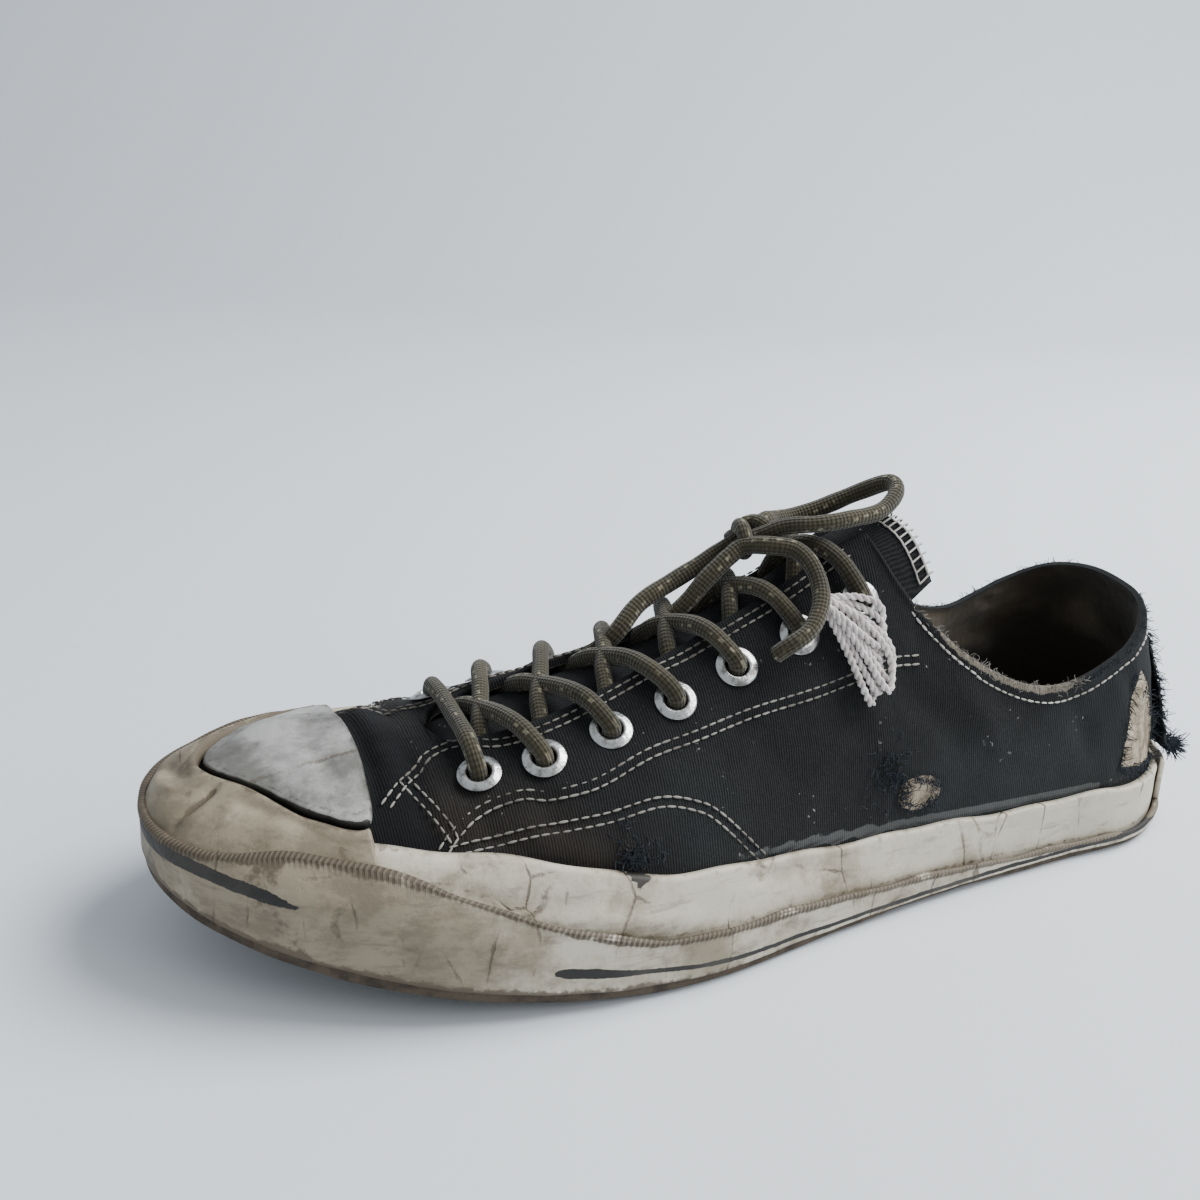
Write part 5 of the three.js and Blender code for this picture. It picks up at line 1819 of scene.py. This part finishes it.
def build_stitches():
    lines = []
    for side in (1, -1):
        for seam in (EYESTAY_LINE, THROAT_SEAM, VAMP_SEAM):
            line = seam if side > 0 else mirrored(seam)
            lines += [on_canvas(line, 0.32, DOUBLE), on_canvas(line, 0.32, -DOUBLE)]
        lines += [on_canvas(PATCH_LINE, 0.34, DOUBLE, side), on_canvas(PATCH_LINE, 0.34, -DOUBLE, side)]
    stitches("panel_stitches", lines, STITCH_THREAD, *PANEL_STITCH)
    rows = []
    for side in (1, -1):
        x = np.linspace(-143, -41, 160)
        edge = edge_angle(x, side)
        angle = edge if side > 0 else math.pi - edge
        high = last_point(x, angle, 0)
        down = COLLAR_SEAM / np.maximum(high[:, 2] - LAST_FLOOR, 1)
        part = 1 - down * np.where(x < -60, 1, 0.9)
        angle = edge * part if side > 0 else math.pi - edge * part
        rows.append(skin(x, angle, 0.15)[0])
    stitches("collar_stitches", rows, WHITE_THREAD, *COLLAR_STITCH)
    ladder = []
    for u in np.linspace(0.04, 0.97, OVERLOCK["stitches"]):
        x, y = tongue_place(np.array([u, u]), np.array([1.0, OVERLOCK["inset"]]))
        ladder.append(np.array([over((x[0] - 0.7, y[0], TONGUE_TOP - TONGUE * 0.6)),
                                over((x[0] - 0.9, y[0], TONGUE_TOP - 0.6)),
                                over((x[0] + 0.4, y[0], TONGUE_TOP + 0.35)),
                                over((x[1], y[1], TONGUE_TOP + 0.3))]))
    thick, steps = OVERLOCK["thread"], OVERLOCK["steps"]
    parts = [tube(smooth_line(line, 0.5), thick, 6) for line in ladder]
    for v, radius in ((OVERLOCK["inset"], thick), (OVERLOCK["edge"], thick - 0.02)):
        x, y = tongue_place(np.linspace(0.03, 0.97, steps), np.full(steps, v))
        lift = TONGUE_TOP + 0.35 + 0.12 * np.sin(np.arange(steps) * 1.5)
        parts.append(tube(np.array([over(row) for row in zip(x, y, lift)]), radius, 6))
    points, faces, corners = joined(parts)
    mesh_piece("tongue_overlock", points, faces, WHITE_THREAD, corners=corners)


build_stitches()


def thread_tuft(name, roots, directions, lengths, curl, thick, thread, seed):
    """Loose threads from roots, each a thin curling tube."""
    chance = np.random.default_rng(seed)
    parts = []
    for root, way, length in zip(roots, directions, lengths):
        steps = 7
        heading = way / np.linalg.norm(way)
        path = [np.array(root, float)]
        bend = chance.normal(size=3) * curl
        for _ in range(steps):
            heading = heading + bend / steps + chance.normal(size=3) * curl * 0.25
            heading /= np.linalg.norm(heading)
            path.append(path[-1] + heading * length / steps)
        radius = thick * np.linspace(1, 0.45, steps + 1)
        parts.append(tube(np.array(path), radius, 4))
    points, faces, corners = joined(parts)
    return mesh_piece(name, points, faces, thread, corners=corners)


def fray_beside(name, chance, x, z, pull, out, loose, lengths, curl, thick, seed, lift=0.0):
    """Loose dark threads at places on the outer side, pulled one way and standing out."""
    root, normal = skin(x, angle_at_z(x, z, 1), lift)
    ways = pull + normal * out + chance.normal(size=(len(x), 3)) * loose
    thread_tuft(name, root, ways, chance.uniform(*lengths, len(x)), curl, thick, DARK_THREAD, seed)


def frayed_edges():
    chance = np.random.default_rng(31)
    # Round the worn hole on the outer side.
    count = 150
    turn = chance.uniform(0, 2 * math.pi, count)
    spread = chance.uniform(0.72, 1.15, count)
    x = HOLE[0] + HOLE_SIZE[0] * 0.95 * np.cos(turn) * spread
    z = HOLE[1] + HOLE_SIZE[1] * 0.95 * np.sin(turn) * spread
    inward = np.stack([-np.cos(turn), np.zeros(count), -np.sin(turn)], -1)
    fray_beside("hole_fray", chance, x, z, inward, 0.7, 0.4, (1.5, 4.5), 1.1, 0.13, 3)
    # A rubbed patch ahead of the hole.
    count = 170
    x = chance.normal(-30.5, 3.6, count)
    z = chance.normal(37, 4.4, count)
    fray_beside("patch_fray", chance, x, z, 0, 0.5, 0.8, (1.5, 4.0), 1.4, 0.13, 4)
    # A tear in the canvas where it meets the foxing.
    count = 130
    x = chance.normal(46, 2.6, count)
    z = 32.5 + chance.exponential(1.8, count)
    down = np.array([0, 0, -0.7])
    fray_beside("side_tear_fray", chance, x, z, down, 0.5, 0.5, (1.5, 4.2), 0.9, 0.15, 6, 0.1)
    # Along the worn front of the collar and over the heel.
    for side, count, span, thread, thick, name in (
            (1, 260, (-98, -40), STITCH_THREAD, 0.11, "collar_fray_outer"),
            (1, 150, (-143, -96), DARK_THREAD, 0.12, "heel_fray_outer"),
            (-1, 150, (-143, -60), DARK_THREAD, 0.12, "collar_fray_inner")):
        x = chance.uniform(*span, count)
        edge = edge_angle(x, side)
        down = chance.exponential(0.02, count)
        angle = edge * (1 - down)
        root, normal = skin(x, angle if side > 0 else math.pi - angle, 0.1)
        ways = normal * 0.6 + np.array([0, 0, 0.5]) + chance.normal(size=(count, 3)) * 0.7
        thread_tuft(name, root, ways, chance.uniform(0.8, 2.6, count), 1.4, thick, thread, 8 + count)
    # Down both sides of the torn back of the heel.
    count = 240
    line = smooth_line(HEEL_TEAR, 0.5)
    pick = chance.integers(0, len(line), count)
    x = line[pick, 0] + chance.normal(0, 0.6, count)
    z = line[pick, 1] + chance.normal(0, 0.8, count)
    back = np.array([-0.3, 0, -0.5])
    fray_beside("heel_tear_fray", chance, x, z, back, 0.5, 0.5, (1.5, 5.0), 1.0, 0.13, 9)


frayed_edges()


# ---------- the torn strip on the back of the heel ----------
STRIP_TOP = 66
STRIP_LOW = 21


def heel_strip_row(z, part):
    """Points across the strip at a height: part 0 is its inner edge, 1 its outer, torn edge."""
    torn = 0.30 + 0.035 * math.sin(z * 0.55 + 1) + 0.02 * math.sin(z * 1.9) - 0.10 * float(step_up(z, 50, 66))
    inner = -0.22
    turn = inner + (torn - inner) * part
    turn = np.where(turn < 0, turn + 2 * math.pi, turn)
    down = (STRIP_TOP - z) / (STRIP_TOP - STRIP_LOW)
    curl = 1.0 + 0.9 * down + 2.4 * part**6 * down**2 + 0.3 * math.sin(z * 0.5)
    rows = [ring_row(curl[i], lambda x: z + 0 * x, turn[i:i + 1])[0] for i in range(len(part))]
    return np.array(rows)


def heel_strip():
    """What is left of the dark strip up the back of the heel, torn and loose along its outer edge."""
    rows, columns = 90, 26
    part = np.linspace(0, 1, columns)
    heights = np.linspace(STRIP_TOP, STRIP_LOW, rows)
    face = np.array([heel_strip_row(z, part) for z in heights])
    normal = grid_normals(face)
    if normal[..., 0].mean() > 0:
        normal = -normal
    grid = np.array([face, face - normal * 0.7])
    top, _ = grid_faces(rows, columns)
    count = rows * columns
    faces = top.tolist() + (top[:, ::-1] + count).tolist()
    rim = [(r * columns, (r + 1) * columns) for r in range(rows - 1)]
    faces += [[a, b, b + count, a + count] for a, b in rim]
    rim = [(a + columns - 1, b + columns - 1) for a, b in rim]
    faces += [[b, a, a + count, b + count] for a, b in rim]
    faces += [[c + 1, c, c + count, c + 1 + count] for c in range(columns - 1)]
    low = (rows - 1) * columns
    faces += [[low + c, low + c + 1, low + c + 1 + count, low + c + count] for c in range(columns - 1)]
    points = grid.reshape(-1, 3)
    zero = np.zeros(len(points))
    fields = {"fade": zero + 0.4, "grime": zero + 0.2}
    corners = [[points[i][1] * MM, points[i][2] * MM] for f in faces for i in f]
    mesh_piece("heel_strip_remnant", points, faces, TONGUE_CANVAS, fields, corners)
    chance = np.random.default_rng(5)
    count = 260
    heights = chance.uniform(STRIP_LOW, STRIP_TOP, count)
    root = np.array([heel_strip_row(z, np.array([1.0]))[0] for z in heights])
    ways = np.array([-0.7, 0.8, -0.6]) + chance.normal(size=(count, 3)) * 0.6
    thread_tuft("heel_strip_fray", root, ways, chance.uniform(1.0, 4.2, count), 1.1, 0.14, DARK_THREAD, 14)
    tatter = np.array([heel_strip_row(STRIP_LOW + 1.5, np.array([0.9 + 0.02 * k]))[0] for k in range(6)])
    root = np.repeat(tatter, 40, axis=0) + chance.normal(size=(240, 3)) * 0.5
    ways = np.array([-0.9, 0.7, -0.25]) + chance.normal(size=(240, 3)) * 0.22
    thread_tuft("heel_tatter", root, ways, chance.uniform(3.0, 7.5, 240), 0.5, 0.2, DARK_THREAD, 15)


heel_strip()
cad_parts["midsole"].data.materials.clear()
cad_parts["midsole"].data.materials.append(MIDSOLE_FOAM)


# ---------- stage, light and camera, in metres ----------
FLOOR_BEHIND = 3.0      # paper behind the camera
WALL_AT = 1.6           # where the paper stands up behind the shoe
WALL_TOP = 2.6
BEND = 0.6
PAPER_HALF = 3.4
PAPER_COLOR = (0.66, 0.69, 0.73)


def stage():
    sweep = [(WALL_AT - BEND + BEND * math.sin(a), BEND - BEND * math.cos(a))
             for a in np.linspace(0, math.pi / 2, 16)]
    profile = [(-FLOOR_BEHIND, 0)] + sweep + [(WALL_AT, WALL_TOP)]
    toward = Vector((-0.393, -0.92, 0))
    sideways = Vector((-0.92, 0.393, 0))
    points, faces = [], []
    for along_floor, z in profile:
        for s in (-PAPER_HALF, PAPER_HALF):
            p = toward * along_floor + sideways * s
            points.append((p.x, p.y, z))
    for i in range(len(profile) - 1):
        faces.append((2 * i, 2 * i + 1, 2 * i + 3, 2 * i + 2))
    mesh = bpy.data.meshes.new("paper_sweep")
    mesh.from_pydata(points, [], faces)
    mesh.polygons.foreach_set("use_smooth", [True] * len(mesh.polygons))
    mesh.materials.append(Paint("pale paper").finish(PAPER_COLOR, 0.8, specular=0.1))
    floor = bpy.data.objects.new("paper_sweep", mesh)
    bpy.context.scene.collection.objects.link(floor)


stage()


def area_light(name, at, aim, size, power, color):
    light = bpy.data.lights.new(name, "AREA")
    light.shape = "DISK"
    light.size = size
    light.energy = power
    light.color = color
    lamp = bpy.data.objects.new(name, light)
    lamp.location = at
    lamp.visible_camera = False
    lamp.rotation_euler = (Vector(aim) - Vector(at)).to_track_quat("-Z", "Y").to_euler()
    bpy.context.scene.collection.objects.link(lamp)


area_light("soft overhead", (-0.9, 0.1, 1.2), (-0.45, 0.1, 0), 1.1, 44, (0.97, 0.99, 1.0))
area_light("soft side", (-0.9, 1.2, 1.0), (0.0, 0, 0.04), 1.0, 9, (1.0, 0.99, 0.97))
ROOM_COLOR = (0.85, 0.91, 0.96, 1)
ROOM_STRENGTH = 0.74
world = bpy.data.worlds.new("pale room")
world.use_nodes = True
room = world.node_tree.nodes["Background"]
room.inputs["Color"].default_value = ROOM_COLOR
room.inputs["Strength"].default_value = ROOM_STRENGTH
bpy.context.scene.world = world

CAMERA_AT = (0.1606, 0.2870, 0.1951)
CAMERA_YAW = math.radians(-23.14)
CAMERA_DIP = math.radians(20.33)
CAMERA_ROLL = math.radians(2.96)
SENSOR = 36
FOCAL = 39.978
ahead = Vector((math.sin(CAMERA_YAW) * math.cos(CAMERA_DIP), -math.cos(CAMERA_YAW) * math.cos(CAMERA_DIP),
                -math.sin(CAMERA_DIP)))
right = ahead.cross(Vector((0, 0, 1))).normalized()
upward = right.cross(ahead)
tilted_right = right * math.cos(CAMERA_ROLL) + upward * math.sin(CAMERA_ROLL)
tilted_up = -right * math.sin(CAMERA_ROLL) + upward * math.cos(CAMERA_ROLL)
lens = bpy.data.cameras.new("view")
lens.lens = FOCAL
lens.sensor_width = SENSOR
lens.clip_start = 0.01
view = bpy.data.objects.new("view", lens)
turn = Matrix((tilted_right, tilted_up, -ahead)).transposed()
view.matrix_world = Matrix.Translation(CAMERA_AT) @ turn.to_4x4()
bpy.context.scene.collection.objects.link(view)
bpy.context.scene.camera = view
